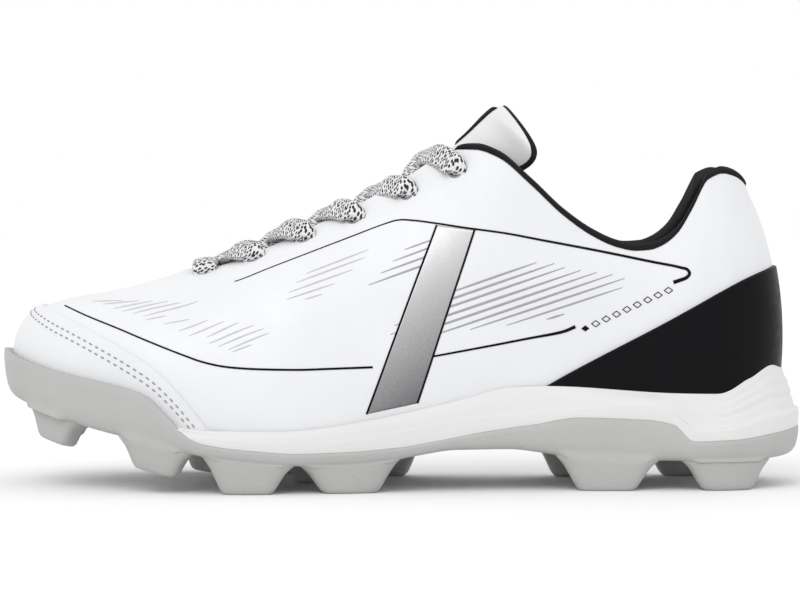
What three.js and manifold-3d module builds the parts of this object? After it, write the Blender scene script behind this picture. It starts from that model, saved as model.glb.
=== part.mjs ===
// A low-cut baseball cleat with moulded studs, for the left foot, standing empty on its studs.
// Lengths are millimetres. The toe points along -X, +Z is up and the outer side of the foot is -Y.
// The origin is on the ground, under the middle of the shoe's length and of its width.
//
// The shoe is worked out from sections. A place along the shoe is "at", the share of LENGTH from the
// back of the heel, and a column is the line that climbs from the sole's edge to the collar, the
// throat or the ridge of the toe box. Heights are shares of SOLE_HEIGHT or UPPER_HEIGHT above the
// tread, the plane that the studs stand out of.
import * as THREE from "three";
import { mergeVertices } from "three/addons/utils/BufferGeometryUtils.js";
import Module from "manifold-3d";

const wasm = await Module();
wasm.setup();

// Driving dimensions
const LENGTH = 292; // back of the heel to the tip of the toe bumper
const BALL_WIDTH = 102; // widest part of the sole
const STUD_HEIGHT = 9.5; // ground to tread
const SOLE_HEIGHT = 26.5; // tread to the midsole's rim beside the heel
const UPPER_HEIGHT = 112.5; // tread to the top of the throat
const CLEARANCE = 0.3; // between pieces that touch

// Thicknesses and steps
const UPPER_WALL = 1.8;
const LASTING_MARGIN = 9; // the upper's edge that turns in under the foot
const RIM_STEP = 5; // from the sole's edge in to the upper, beside the arch
const TOE_CAP_THICKNESS = 1.2;
const COUNTER_THICKNESS = 1.0;
const OUTSOLE_THICKNESS = 3.2;
const OUTSOLE_WALL = 4; // the cup's side wall
const MIDSOLE_LIP = 1.5; // the heel's lip stands this far out of the groove
const RIM_THICKNESS = 0.9; // the midsole's top edge
const INSOLE_THICKNESS = 3.6;
const LINING_THICKNESS = 6.5; // the collar's padding at its fullest
const LINING_DEPTH = 36; // how far the padding reaches down inside
const COLLAR_ROLL = 2.6; // the lining's roll stands this far above the upper
const TONGUE_THICKNESS = 3.4;
const TONGUE_WIDTH = 58;
const LABEL_THICKNESS = 0.8;
const EYELET_RADIUS = 2.3;
const EYELET_INSET = 0.11; // share of a column's length, from the throat's edge down
const LACE_WIDTH = 8.2;
const LACE_THICKNESS = 2.8;

// How finely the surfaces are cut
const COLUMNS = 32; // on each side of the shoe
const ROWS = 8; // up each column
const END_SPREAD = 0.17; // over 0, the columns crowd towards the middle of the shoe

const HALF_BALL = BALL_WIDTH / 2;

// The sole's edge seen from above: half widths as shares of half the ball width
const OUTLINE = [
  { at: 0.03, outer: 0.46, inner: 0.46 },
  { at: 0.06, outer: 0.6, inner: 0.6 },
  { at: 0.1, outer: 0.69, inner: 0.68 },
  { at: 0.15, outer: 0.71, inner: 0.7 },
  { at: 0.22, outer: 0.7, inner: 0.67 },
  { at: 0.31, outer: 0.7, inner: 0.62 },
  { at: 0.4, outer: 0.74, inner: 0.6 },
  { at: 0.5, outer: 0.83, inner: 0.66 },
  { at: 0.58, outer: 0.92, inner: 0.78 },
  { at: 0.65, outer: 0.99, inner: 0.9 },
  { at: 0.7, outer: 1, inner: 0.97 },
  { at: 0.75, outer: 0.97, inner: 1 },
  { at: 0.8, outer: 0.9, inner: 0.98 },
  { at: 0.86, outer: 0.765, inner: 0.9 },
  { at: 0.92, outer: 0.57, inner: 0.755 },
  { at: 0.97, outer: 0.305, inner: 0.54 },
];
const TOE_SWING = 0.155; // the toe's tip lies this share of half the ball width to the inner side

// Heights of the sole's lines at its edge, as shares of SOLE_HEIGHT above the tread
const TREAD = [
  { at: 0, height: 0.06 },
  { at: 0.06, height: 0.03 },
  { at: 0.2, height: 0.03 },
  { at: 0.3, height: 0.1 },
  { at: 0.37, height: 0.19 },
  { at: 0.43, height: 0.19 },
  { at: 0.48, height: 0.12 },
  { at: 0.52, height: 0.04 },
  { at: 0.57, height: 0 },
  { at: 0.64, height: 0.01 },
  { at: 0.7, height: 0.07 },
  { at: 0.76, height: 0.18 },
  { at: 0.82, height: 0.33 },
  { at: 0.88, height: 0.47 },
  { at: 0.94, height: 0.66 },
  { at: 1, height: 0.86 },
];
const SEAM = [
  { at: 0, height: 0.46 },
  { at: 0.04, height: 0.4 },
  { at: 0.09, height: 0.33 },
  { at: 0.142, height: 0.31 },
  { at: 0.168, height: 0.54 },
  { at: 0.2, height: 0.6 },
  { at: 0.284, height: 0.63 },
  { at: 0.33, height: 0.55 },
  { at: 0.39, height: 0.46 },
  { at: 0.45, height: 0.34 },
  { at: 0.5, height: 0.25 },
  { at: 0.56, height: 0.2 },
  { at: 0.62, height: 0.185 },
  { at: 0.68, height: 0.23 },
  { at: 0.735, height: 0.31 },
  { at: 0.752, height: 0.38 },
  { at: 0.78, height: 0.67 },
  { at: 0.804, height: 0.92 },
  { at: 0.822, height: 1.01 },
  { at: 0.86, height: 1.11 },
  { at: 0.92, height: 1.24 },
  { at: 0.97, height: 1.39 },
  { at: 1, height: 1.5 },
];
const RIM = [
  { at: 0, height: 1.27 },
  { at: 0.025, height: 1.29 },
  { at: 0.04, height: 1.35 },
  { at: 0.07, height: 1.15 },
  { at: 0.112, height: 0.94 },
  { at: 0.17, height: 0.955 },
  { at: 0.32, height: 1.05 },
  { at: 0.37, height: 1.03 },
  { at: 0.42, height: 0.89 },
  { at: 0.48, height: 0.74 },
  { at: 0.54, height: 0.61 },
  { at: 0.6, height: 0.51 },
  { at: 0.65, height: 0.48 },
  { at: 0.73, height: 0.49 },
  { at: 0.8, height: 0.61 },
  { at: 0.9, height: 0.88 },
  { at: 1, height: 1.18 },
];
const FLOOR = [
  { at: 0, height: 0.7 },
  { at: 0.2, height: 0.68 },
  { at: 0.35, height: 0.62 },
  { at: 0.45, height: 0.53 },
  { at: 0.55, height: 0.4 },
  { at: 0.65, height: 0.35 },
  { at: 0.73, height: 0.39 },
  { at: 0.8, height: 0.55 },
  { at: 0.9, height: 0.83 },
  { at: 1, height: 1.12 },
];
// The groove over the heel's lip: its height, and how deep it is as a share of MIDSOLE_LIP
const GROOVE = [
  { at: 0, height: 0.73, depth: 1 },
  { at: 0.05, height: 0.66, depth: 1 },
  { at: 0.1, height: 0.49, depth: 1 },
  { at: 0.137, height: 0.48, depth: 1 },
  { at: 0.152, height: 0.58, depth: 0.9 },
  { at: 0.17, height: 0.72, depth: 0.4 },
  { at: 0.2, height: 0.8, depth: 0.1 },
  { at: 0.4, height: 0.66, depth: 0.1 },
  { at: 0.6, height: 0.34, depth: 0.1 },
  { at: 0.75, height: 0.42, depth: 0.1 },
  { at: 1, height: 1.1, depth: 0.1 },
];
// The step from the sole's edge in to the upper, as shares of RIM_STEP
const STEP = [
  { at: 0, inset: 1.86 },
  { at: 0.05, inset: 1.7 },
  { at: 0.1, inset: 1.44 },
  { at: 0.2, inset: 1.16 },
  { at: 0.35, inset: 1 },
  { at: 0.5, inset: 0.9 },
  { at: 0.65, inset: 0.88 },
  { at: 0.8, inset: 0.96 },
  { at: 1, inset: 0.96 },
];

// The top end of each column: where it lies along the shoe, how far from the ridge as a share of
// half the ball width, and its height as a share of UPPER_HEIGHT. Collar, throat, then closed ridge.
const THROAT_END = 0.775;
const THROAT_TOP = 0.445;
const TOPLINE = [
  { at: 0, along: 0.066, apart: 0, height: 0.872 },
  { at: 0.03, along: 0.07, apart: 0.17, height: 0.882 },
  { at: 0.07, along: 0.083, apart: 0.31, height: 0.908 },
  { at: 0.1, along: 0.102, apart: 0.405, height: 0.92 },
  { at: 0.125, along: 0.122, apart: 0.46, height: 0.9 },
  { at: 0.145, along: 0.143, apart: 0.49, height: 0.802 },
  { at: 0.162, along: 0.161, apart: 0.508, height: 0.728 },
  { at: 0.178, along: 0.178, apart: 0.52, height: 0.692 },
  { at: 0.193, along: 0.193, apart: 0.527, height: 0.677 },
  { at: 0.212, along: 0.212, apart: 0.533, height: 0.6735 },
  { at: 0.233, along: 0.233, apart: 0.537, height: 0.684 },
  { at: 0.262, along: 0.262, apart: 0.54, height: 0.717 },
  { at: 0.3, along: 0.3, apart: 0.54, height: 0.786 },
  { at: 0.34, along: 0.34, apart: 0.52, height: 0.884 },
  { at: 0.38, along: 0.379, apart: 0.475, height: 0.97 },
  { at: 0.41, along: 0.407, apart: 0.415, height: 0.996 },
  { at: 0.435, along: 0.428, apart: 0.345, height: 0.998 },
  { at: 0.455, along: 0.446, apart: 0.3, height: 0.984 },
  { at: 0.5, along: 0.495, apart: 0.255, height: 0.907 },
  { at: 0.56, along: 0.555, apart: 0.225, height: 0.819 },
  { at: 0.62, along: 0.615, apart: 0.198, height: 0.744 },
  { at: 0.68, along: 0.675, apart: 0.17, height: 0.672 },
  { at: 0.72, along: 0.714, apart: 0.145, height: 0.632 },
  { at: 0.75, along: 0.742, apart: 0.11, height: 0.615 },
  { at: THROAT_END, along: 0.762, apart: 0, height: 0.614 },
  { at: 0.82, along: 0.782, apart: 0, height: 0.597 },
  { at: 0.88, along: 0.812, apart: 0, height: 0.57 },
  { at: 0.95, along: 0.845, apart: 0, height: 0.546 },
  { at: 1, along: 0.86, apart: 0, height: 0.536 },
];
// How far the ridge lies to the inner side, as shares of half the ball width
const RIDGE = [
  { at: 0, swing: 0 },
  { at: 0.3, swing: 0.01 },
  { at: 0.45, swing: 0.04 },
  { at: 0.6, swing: 0.06 },
  { at: 0.76, swing: 0.09 },
  { at: 0.87, swing: 0.13 },
  { at: 1, swing: TOE_SWING },
];
// How each column bulges: outwards at its foot (share of half the ball width), how high that
// holds (share of its height), how far out its top end reaches (share of its width), and how far
// that drops
const BULGE = [
  { at: 0, foot: 0.085, rise: 0.33, reach: 1.25, drop: 0.3 },
  { at: 0.1, foot: 0.075, rise: 0.33, reach: 1.15, drop: 0.32 },
  { at: 0.2, foot: 0.06, rise: 0.35, reach: 1, drop: 0.3 },
  { at: 0.35, foot: 0.05, rise: 0.34, reach: 0.8, drop: 0.26 },
  { at: 0.45, foot: 0.05, rise: 0.33, reach: 0.62, drop: 0.2 },
  { at: 0.55, foot: 0.05, rise: 0.36, reach: 0.58, drop: 0.13 },
  { at: 0.65, foot: 0.045, rise: 0.44, reach: 0.62, drop: 0.06 },
  { at: 0.76, foot: 0.04, rise: 0.52, reach: 0.66, drop: 0.01 },
  { at: 0.88, foot: 0.035, rise: 0.58, reach: 0.7, drop: 0.02 },
  { at: 1, foot: 0.03, rise: 0.66, reach: 0.85, drop: 0.07 },
];

// The back edge of the toe cap and the top edge of the heel counter, seen from the side
const TOE_CAP_EDGE = [
  { at: 0.725, height: 0.1 },
  { at: 0.75, height: 0.18 },
  { at: 0.771, height: 0.242 },
  { at: 0.792, height: 0.293 },
  { at: 0.808, height: 0.323 },
  { at: 0.864, height: 0.4 },
  { at: 0.916, height: 0.459 },
  { at: 0.95, height: 0.489 },
  { at: 1, height: 0.52 },
];
const COUNTER_EDGE = [
  { at: 0.02, height: 0.638 },
  { at: 0.07, height: 0.593 },
  { at: 0.18, height: 0.443 },
  { at: 0.33, height: 0.235 },
  { at: 0.35, height: 0.2 },
];
const TOE_CAP_BACK = 0.735;
const COUNTER_FRONT = 0.33;

// The tongue: its width as a share of TONGUE_WIDTH, how far its edges fall below its crown as a
// share of that too, the exponent of that fall, how many degrees its ribs lean back, and how far
// its crown lies to the inner side as a share of half the ball width
const TONGUE = [
  { along: 0.373, width: 0.84, fall: 0.3, arch: 2.2, lean: 46, swing: 0 },
  { along: 0.385, width: 0.84, fall: 0.36, arch: 2.2, lean: 45, swing: 0 },
  { along: 0.396, width: 0.7, fall: 0.39, arch: 2.3, lean: 41, swing: 0 },
  { along: 0.415, width: 0.57, fall: 0.28, arch: 2.7, lean: 30, swing: 0 },
  { along: 0.435, width: 0.58, fall: 0.25, arch: 3.4, lean: 22, swing: 0 },
  { along: 0.47, width: 0.6, fall: 0.23, arch: 4, lean: 12, swing: 0.005 },
  { along: 0.52, width: 0.61, fall: 0.2, arch: 4, lean: 5, swing: 0.02 },
  { along: 0.58, width: 0.6, fall: 0.17, arch: 3.5, lean: 2, swing: 0.04 },
  { along: 0.64, width: 0.58, fall: 0.15, arch: 3, lean: 0, swing: 0.06 },
  { along: 0.7, width: 0.55, fall: 0.13, arch: 2.5, lean: 0, swing: 0.08 },
  { along: 0.74, width: 0.5, fall: 0.11, arch: 2.5, lean: 0, swing: 0.09 },
  { along: 0.79, width: 0.42, fall: 0.09, arch: 2.5, lean: 0, swing: 0.1 },
];
// The height of its crown where it stands free of the throat, as a share of UPPER_HEIGHT
const TONGUE_CROWN = [
  { along: 0.373, height: 1.146 },
  { along: 0.384, height: 1.13 },
  { along: 0.4185, height: 1.043 },
  { along: 0.4346, height: 1.007 },
];
const TONGUE_GAP = 0.7; // under the throat's edge
const THROAT_SLOPE = 1.25; // the wall's thickness measured straight down beside the throat's edge
const TONGUE_RIBS = 18;
const TONGUE_CUTS = 10; // across the tongue

// Studs: along the shoe, then shares of STUD_INSET in from the edge and of STUD_LENGTH and
// STUD_WIDTH at the root. Grounded ones stand on the ground and the others follow the toe's rise.
const STUD_INSET = 8.5; // from the sole's edge in to the middle of a stud
const STUD_LENGTH = 29;
const STUD_WIDTH = 14;
const STUD_TAPER = 0.6; // the tip's share of the root's length
const STUD_SIDE_TAPER = 0.72;
const STUD_ROUNDING = 4; // exponent of the rounded rectangle
const STUDS = [
  { side: -1, at: 0.945, inset: 1.18, length: 0.72, width: 0.86, grounded: false },
  { side: 1, at: 0.95, inset: 1.18, length: 0.72, width: 0.86, grounded: false },
  { side: -1, at: 0.803, inset: 1, length: 0.83, width: 1, grounded: false },
  { side: 1, at: 0.79, inset: 1, length: 0.86, width: 1, grounded: false },
  { side: -1, at: 0.683, inset: 1, length: 1, width: 1, grounded: true },
  { side: 1, at: 0.64, inset: 1, length: 1, width: 1, grounded: true },
  { side: -1, at: 0.556, inset: 1, length: 1.14, width: 1, grounded: true },
  { side: 1, at: 0.515, inset: 0.94, length: 0.97, width: 0.93, grounded: true },
  { side: -1, at: 0.247, inset: 0.88, length: 1.17, width: 0.93, grounded: true },
  { side: 1, at: 0.275, inset: 0.88, length: 1.03, width: 0.86, grounded: true },
  { side: -1, at: 0.094, inset: 1.06, length: 1, width: 1, grounded: true },
  { side: 1, at: 0.13, inset: 1, length: 1.03, width: 0.93, grounded: true },
];
const MIDDLE_STUDS = [
  { at: 0.745, swing: 0.08, length: 0.59, width: 0.93 },
  { at: 0.615, swing: 0.02, length: 0.59, width: 0.93 },
];

// Where the six pairs of eyelets lie along the shoe
const EYELETS = [0.742, 0.68, 0.617, 0.556, 0.491, 0.43];

// A smooth curve through the rows of a table that never overshoots them
function through(xs, ys) {
  const n = xs.length;
  const slope = xs.slice(1).map((x, i) => (ys[i + 1] - ys[i]) / (x - xs[i]));
  const tangent = xs.map((_, i) => {
    if (i === 0) return slope[0];
    if (i === n - 1) return slope[n - 2];
    const [a, b] = [slope[i - 1], slope[i]];
    return a * b <= 0 ? 0 : (2 * a * b) / (a + b);
  });
  return (x) => {
    let i = 0;
    while (i < n - 2 && x > xs[i + 1]) i++;
    const span = xs[i + 1] - xs[i];
    const t = THREE.MathUtils.clamp((x - xs[i]) / span, 0, 1);
    const u = 1 - t;
    return (
      ys[i] * u * u * (1 + 2 * t) +
      ys[i + 1] * t * t * (3 - 2 * t) +
      tangent[i] * span * t * u * u -
      tangent[i + 1] * span * t * t * u
    );
  };
}

const column = (table, name, key = "at") => {
  const rows = [...table].sort((a, b) => a[key] - b[key]);
  return through(
    rows.map((row) => row[key]),
    rows.map((row) => row[name]),
  );
};
const soleLine = (table, name = "height") => {
  const share = column(table, name);
  return (at) => STUD_HEIGHT + SOLE_HEIGHT * share(at);
};
const upperLine = (table, key = "at") => {
  const share = column(table, "height", key);
  return (at) => STUD_HEIGHT + UPPER_HEIGHT * share(at);
};

const treadAt = soleLine(TREAD);
const seamAt = soleLine(SEAM);
const rimAt = soleLine(RIM);
const floorAt = soleLine(FLOOR);
const grooveAt = soleLine(GROOVE);
const grooveDepth = column(GROOVE, "depth");
const stepAt = column(STEP, "inset");
const toplineAlong = column(TOPLINE, "along");
const toplineApart = column(TOPLINE, "apart");
const toplineHeight = upperLine(TOPLINE);
const ridgeSwing = column(RIDGE, "swing");
const capEdgeAt = upperLine(TOE_CAP_EDGE);
const counterEdgeAt = upperLine(COUNTER_EDGE);
const bulge = Object.fromEntries(
  ["foot", "rise", "reach", "drop"].map((name) => [name, column(BULGE, name)]),
);

const alongToX = (at) => LENGTH / 2 - at * LENGTH;
const xToAlong = (x) => 0.5 - x / LENGTH;
const turnToAlong = (turn) => (1 - Math.cos(turn)) / 2;

// The sole's edge as one closed curve. A turn of 0 is the back of the heel, and pi is the toe.
const edgeSide = (() => {
  const turnOf = (at) => Math.acos(1 - 2 * at);
  const half = [
    [0, 0],
    ...OUTLINE.map((row) => [turnOf(row.at), -row.outer * HALF_BALL]),
    [Math.PI, TOE_SWING * HALF_BALL],
    ...[...OUTLINE].reverse().map((row) => [2 * Math.PI - turnOf(row.at), row.inner * HALF_BALL]),
  ];
  const whole = [-1, 0, 1].flatMap((lap) => half.map(([t, y]) => [t + 2 * Math.PI * lap, y]));
  return through(
    whole.map(([t]) => t),
    whole.map(([, y]) => y),
  );
})();
const edgePoint = (turn) => new THREE.Vector2(alongToX(turnToAlong(turn)), edgeSide(turn));
const TURN_STEP = 1e-3;

// The point at a turn, a distance in from the edge, with the direction that points out there
function edge(turn, inset = 0) {
  const along = edgePoint(turn + TURN_STEP).sub(edgePoint(turn - TURN_STEP)).normalize();
  const out = new THREE.Vector2(along.y, -along.x).negate();
  return { point: edgePoint(turn).addScaledVector(out, -inset), out };
}

// The turns of the columns: first the outer side from heel to toe, then back along the inner side
const TURNS = Array.from({ length: 2 * COLUMNS }, (_, i) => {
  const share = i <= COLUMNS ? i / COLUMNS : 2 - i / COLUMNS;
  const turn = Math.PI * share + END_SPREAD * Math.sin(2 * Math.PI * share);
  return i <= COLUMNS ? turn : 2 * Math.PI - turn;
});
const sideOf = (turn) => (turn <= Math.PI ? -1 : 1);

// A closed solid from welded points and triangles, turned inside out if its faces point inwards
const WELD = 1e-4;
function solid(points, triangles) {
  const raw = new THREE.BufferGeometry().setFromPoints(points);
  raw.setIndex(triangles.flat());
  const welded = mergeVertices(raw, WELD);
  const index = welded.index.array;
  const kept = [];
  for (let i = 0; i < index.length; i += 3) {
    const [a, b, c] = [index[i], index[i + 1], index[i + 2]];
    if (a !== b && b !== c && c !== a) kept.push(a, b, c);
  }
  const make = (triVerts) =>
    new wasm.Manifold(
      new wasm.Mesh({
        numProp: 3,
        vertProperties: welded.attributes.position.array,
        triVerts: new Uint32Array(triVerts),
      }),
    );
  const made = make(kept);
  return made.volume() > 0 ? made : make(kept.reverse());
}

// Joins equal-length rows of points into quads. A wrapped row or stack closes on itself.
function quads(rows, { wrapRows = false, wrapStack = false, skip = () => false } = {}) {
  const count = rows[0].length;
  const triangles = [];
  for (let i = 0; i < rows.length - (wrapStack ? 0 : 1); i++) {
    const next = (i + 1) % rows.length;
    for (let j = 0; j < count - (wrapRows ? 0 : 1); j++) {
      if (skip(i, j)) continue;
      const after = (j + 1) % count;
      const [a, b] = [i * count + j, i * count + after];
      const [c, d] = [next * count + after, next * count + j];
      triangles.push([a, b, c], [a, c, d]);
    }
  }
  return triangles;
}

// A solid swept through closed sections, with flat ends unless the sweep closes on itself
function loft(sections, { closed = false, skip } = {}) {
  const triangles = quads(sections, { wrapRows: true, wrapStack: closed, skip });
  if (!closed) {
    const count = sections[0].length;
    const last = (sections.length - 1) * count;
    triangles.push(...fillSection(sections[0]).map(([a, b, c]) => [c, b, a]));
    triangles.push(...fillSection(sections.at(-1)).map((t) => t.map((k) => k + last)));
  }
  return solid(sections.flat(), triangles);
}

// Triangles that fill one flat-ish section, found in the plane where it is largest
function fillSection(section) {
  const centre = section.reduce((sum, p) => sum.add(p), new THREE.Vector3());
  centre.divideScalar(section.length);
  const normal = new THREE.Vector3();
  section.forEach((p, i) => {
    const q = section[(i + 1) % section.length];
    normal.add(p.clone().sub(centre).cross(q.clone().sub(centre)));
  });
  normal.normalize();
  const right = new THREE.Vector3(normal.y, -normal.x, 0);
  if (right.lengthSq() < WELD) right.set(1, 0, 0);
  right.normalize();
  const up = normal.clone().cross(right);
  const flat = section.map((p) => new THREE.Vector2(p.dot(right), p.dot(up)));
  return THREE.ShapeUtils.triangulateShape(flat, []);
}

// A solid from loops around the shoe. The first and last loops lie on the middle line, which
// closes the bottom and the top.
const stack = (loops) => solid(loops.flat(), quads(loops, { wrapRows: true }));

// A loop around the shoe. The inset goes by the edge's place along the shoe, and the height by the
// loop's own.
function loop(inset, height) {
  return TURNS.map((turn) => {
    const { point } = edge(turn, inset(turnToAlong(turn)));
    return new THREE.Vector3(point.x, point.y, height(xToAlong(point.x)));
  });
}

// A loop folded onto the middle line, which stops short of heel and toe
const MIDDLE_BACK = 0.12;
const MIDDLE_FRONT = 0.87;
function middleLoop(height) {
  return TURNS.map((turn) => {
    const along = THREE.MathUtils.clamp(turnToAlong(turn), MIDDLE_BACK, MIDDLE_FRONT);
    const near = Math.acos(1 - 2 * along);
    const side = (edgeSide(near) + edgeSide(2 * Math.PI - near)) / 2;
    return new THREE.Vector3(alongToX(along), side, height(along));
  });
}

// The upper's outer skin

// How far in from the sole's edge the upper's foot stands
const footInset = (at) => RIM_STEP * stepAt(at);

// The two ends and two handles of the column at a turn
function columnHandles(turn) {
  const at = turnToAlong(turn);
  const { point, out } = edge(turn, footInset(at));
  const foot = new THREE.Vector3(point.x, point.y, floorAt(at) + CLEARANCE);
  const along = toplineAlong(at);
  const side = HALF_BALL * (ridgeSwing(along) + sideOf(turn) * toplineApart(at));
  const top = new THREE.Vector3(alongToX(along), side, toplineHeight(at));
  const outwards = new THREE.Vector3(out.x, out.y, 0);
  const height = top.z - foot.z;
  const low = foot.clone().addScaledVector(outwards, HALF_BALL * bulge.foot(at));
  low.z += height * bulge.rise(at);
  const high = top.clone().lerp(foot, bulge.reach(at));
  high.z = top.z - height * bulge.drop(at);
  return [foot, low, high, top];
}
const columnCurve = (turn) => new THREE.CubicBezierCurve3(...columnHandles(turn));

// The skin's grid of points and the normals there. The two sides share their points on the ridge.
const skin = (() => {
  const grid = TURNS.map((turn) => {
    const curve = columnCurve(turn);
    return Array.from({ length: ROWS + 1 }, (_, j) => curve.getPoint(j / ROWS));
  });
  const raw = new THREE.BufferGeometry().setFromPoints(grid.flat());
  const index = quads(grid, { wrapStack: true }).flat();
  raw.setIndex(index);
  const welded = mergeVertices(raw, WELD);
  welded.computeVertexNormals();
  const place = [];
  index.forEach((vertex, i) => (place[vertex] = welded.index.array[i]));
  const normalAt = (i, j) =>
    new THREE.Vector3().fromBufferAttribute(welded.attributes.normal, place[i * (ROWS + 1) + j]);
  const normals = grid.map((points, i) => points.map((_, j) => normalAt(i, j)));
  const middle = Math.round(ROWS / 2);
  const facesIn = normals[0][middle].x < 0;
  if (facesIn) normals.flat().forEach((n) => n.negate());
  return { grid, normals };
})();
const skinPoint = (i, j, offset) =>
  skin.grid[i][j].clone().addScaledVector(skin.normals[i][j], offset);

// The skin at a place between the grid's points: the column's share i and the row's share j
function skinBetween(i, j, offset) {
  const [i0, j0] = [Math.floor(i), Math.min(Math.floor(j), ROWS - 1)];
  const i1 = (i0 + 1) % TURNS.length;
  const [u, v] = [i - i0, j - j0];
  const low = skinPoint(i0, j0, offset).lerp(skinPoint(i1, j0, offset), u);
  const high = skinPoint(i0, j0 + 1, offset).lerp(skinPoint(i1, j0 + 1, offset), u);
  return low.lerp(high, v);
}

// The column, counted from the heel on one side, whose top end or foot lies at a place
function columnNear(side, wanted, placeOf = turnToAlong) {
  for (let i = 0; i < COLUMNS; i++) {
    const [a, b] = [placeOf(TURNS[i]), placeOf(TURNS[i + 1])];
    if (b >= wanted) {
      const found = i + THREE.MathUtils.clamp((wanted - a) / (b - a), 0, 1);
      return side < 0 ? found : 2 * COLUMNS - found;
    }
  }
  return COLUMNS;
}

const rowsUp = Array.from({ length: ROWS + 1 }, (_, j) => j);
const isClosed = (i) => turnToAlong(TURNS[i % TURNS.length]) >= THROAT_END - WELD;

// The foot form that the skin encloses, grown by an offset
function footForm(offset) {
  const rows = rowsUp.map((j) => TURNS.map((_, i) => skinPoint(i, j, offset)));
  const underneath = (along) => floorAt(along) + CLEARANCE - offset;
  const margin = loop((at) => footInset(at) + LASTING_MARGIN, underneath);
  const foot = rows[0].map((p) => new THREE.Vector3(p.x, p.y, underneath(xToAlong(p.x))));
  const over = TURNS.map((_, i) => {
    const mirror = (TURNS.length - i) % TURNS.length;
    return skinPoint(i, ROWS, offset).lerp(skinPoint(mirror, ROWS, offset), 0.5);
  });
  return stack([middleLoop(underneath), margin, foot, ...rows.slice(1), over]);
}

// A patch of skin between two offsets, over a run of columns, from a low share of each column up
// to a high one
function patch(from, to, low, high, inner, outer) {
  const sections = [];
  for (let i = from; i <= to; i++) {
    const k = (i + TURNS.length) % TURNS.length;
    const top = Math.min(high(k), 1) * ROWS;
    const steps = rowsUp.map((j) => THREE.MathUtils.clamp(j, low * ROWS, top));
    sections.push([
      ...steps.map((j) => skinBetween(k, j, outer)),
      ...steps.reverse().map((j) => skinBetween(k, j, inner)),
    ]);
  }
  return loft(sections);
}

// The share of column k at which it first climbs over an edge seen from the side
function shareUnder(k, edgeHeight) {
  const curve = columnCurve(TURNS[k]);
  const tries = 200;
  for (let n = 0; n <= tries; n++) {
    const p = curve.getPoint(n / tries);
    if (p.z > edgeHeight(xToAlong(p.x))) return n / tries;
  }
  return 1;
}
// An overlay covers its columns from just above the foot up to its edge line. The room that it
// needs in the sole is a little larger all round.
const OVERLAY_LOW = 0.015;
const OVERLAY_LEAST = 0.04;
const OVERLAY_GAP = 0.35; // from the upper out to the overlay
function overlay({ from, to, edgeHeight, thickness }, isRoom) {
  const extra = isRoom ? OVERLAY_LOW : 0;
  const high = (k) => Math.max(shareUnder(k, edgeHeight), OVERLAY_LEAST) + extra;
  const more = isRoom ? 1 : 0;
  const inner = isRoom ? -CLEARANCE : OVERLAY_GAP;
  const outer = thickness + OVERLAY_GAP + (isRoom ? CLEARANCE : 0);
  return patch(from - more, to + more, OVERLAY_LOW - extra, high, inner, outer);
}
const capFrom = Math.floor(columnNear(-1, TOE_CAP_BACK));
const counterTo = Math.ceil(columnNear(-1, COUNTER_FRONT));
const TOE_CAP = {
  from: capFrom,
  to: 2 * COLUMNS - capFrom,
  edgeHeight: capEdgeAt,
  thickness: TOE_CAP_THICKNESS,
};
const HEEL_COUNTER = {
  from: -counterTo,
  to: counterTo,
  edgeHeight: counterEdgeAt,
  thickness: COUNTER_THICKNESS,
};
const upperRoom = () =>
  footForm(CLEARANCE).add(overlay(TOE_CAP, true)).add(overlay(HEEL_COUNTER, true));

// Outsole: a block up to the seam, hollowed to a cup whose rim is the toe bumper at the front. Its
// side climbs from the tread to the seam, with insets as shares of OUTSOLE_CORNER.
const OUTSOLE_CORNER = 9; // the rounded corner reaches this far in under the tread
const OUTSOLE_SIDE = [
  { inset: 1, rise: 0 },
  { inset: 0.38, rise: 0.07 },
  { inset: 0.133, rise: 0.28 },
  { inset: 0.033, rise: 0.6 },
  { inset: 0, rise: 0.85 },
  { inset: 0.022, rise: 1 },
];
function outsoleBlock(grow) {
  const side = ({ inset, rise }) =>
    loop(
      () => OUTSOLE_CORNER * inset - grow,
      (at) => THREE.MathUtils.lerp(treadAt(at) - grow, seamAt(at) + grow, rise),
    );
  const top = (at) => seamAt(at) + grow;
  return stack([
    middleLoop((at) => treadAt(at) - grow),
    ...OUTSOLE_SIDE.map(side),
    loop(() => 1.5 * OUTSOLE_WALL, top),
    middleLoop(top),
  ]);
}
const CAVITY_ABOVE = 12;
function outsoleCavity(grow) {
  const floor = (at) => treadAt(at) + OUTSOLE_THICKNESS + grow;
  const above = (at) => seamAt(at) + CAVITY_ABOVE;
  const wall = () => OUTSOLE_WALL + grow;
  const inside = () => 2.5 * OUTSOLE_WALL;
  return stack([
    middleLoop(floor),
    loop(inside, floor),
    loop(wall, floor),
    loop(wall, above),
    middleLoop(above),
  ]);
}

const SECTION_POINTS = 12;
// A rounded rectangle as a list of points around the origin
function roundedRectangle(length, width, power, count = SECTION_POINTS) {
  return Array.from({ length: count }, (_, i) => {
    const angle = (2 * Math.PI * (i + 0.5)) / count;
    const [c, s] = [Math.cos(angle), Math.sin(angle)];
    const reach = (Math.abs(c) ** power + Math.abs(s) ** power) ** (-1 / power);
    return new THREE.Vector2((length / 2) * c * reach, (width / 2) * s * reach);
  });
}

const STUD_ROOT = 6; // the root runs this far up into the outsole's block
const ROOT_COVER = 1; // and stays this far under the seam
const STUD_CHAMFER = 1.2;
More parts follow.
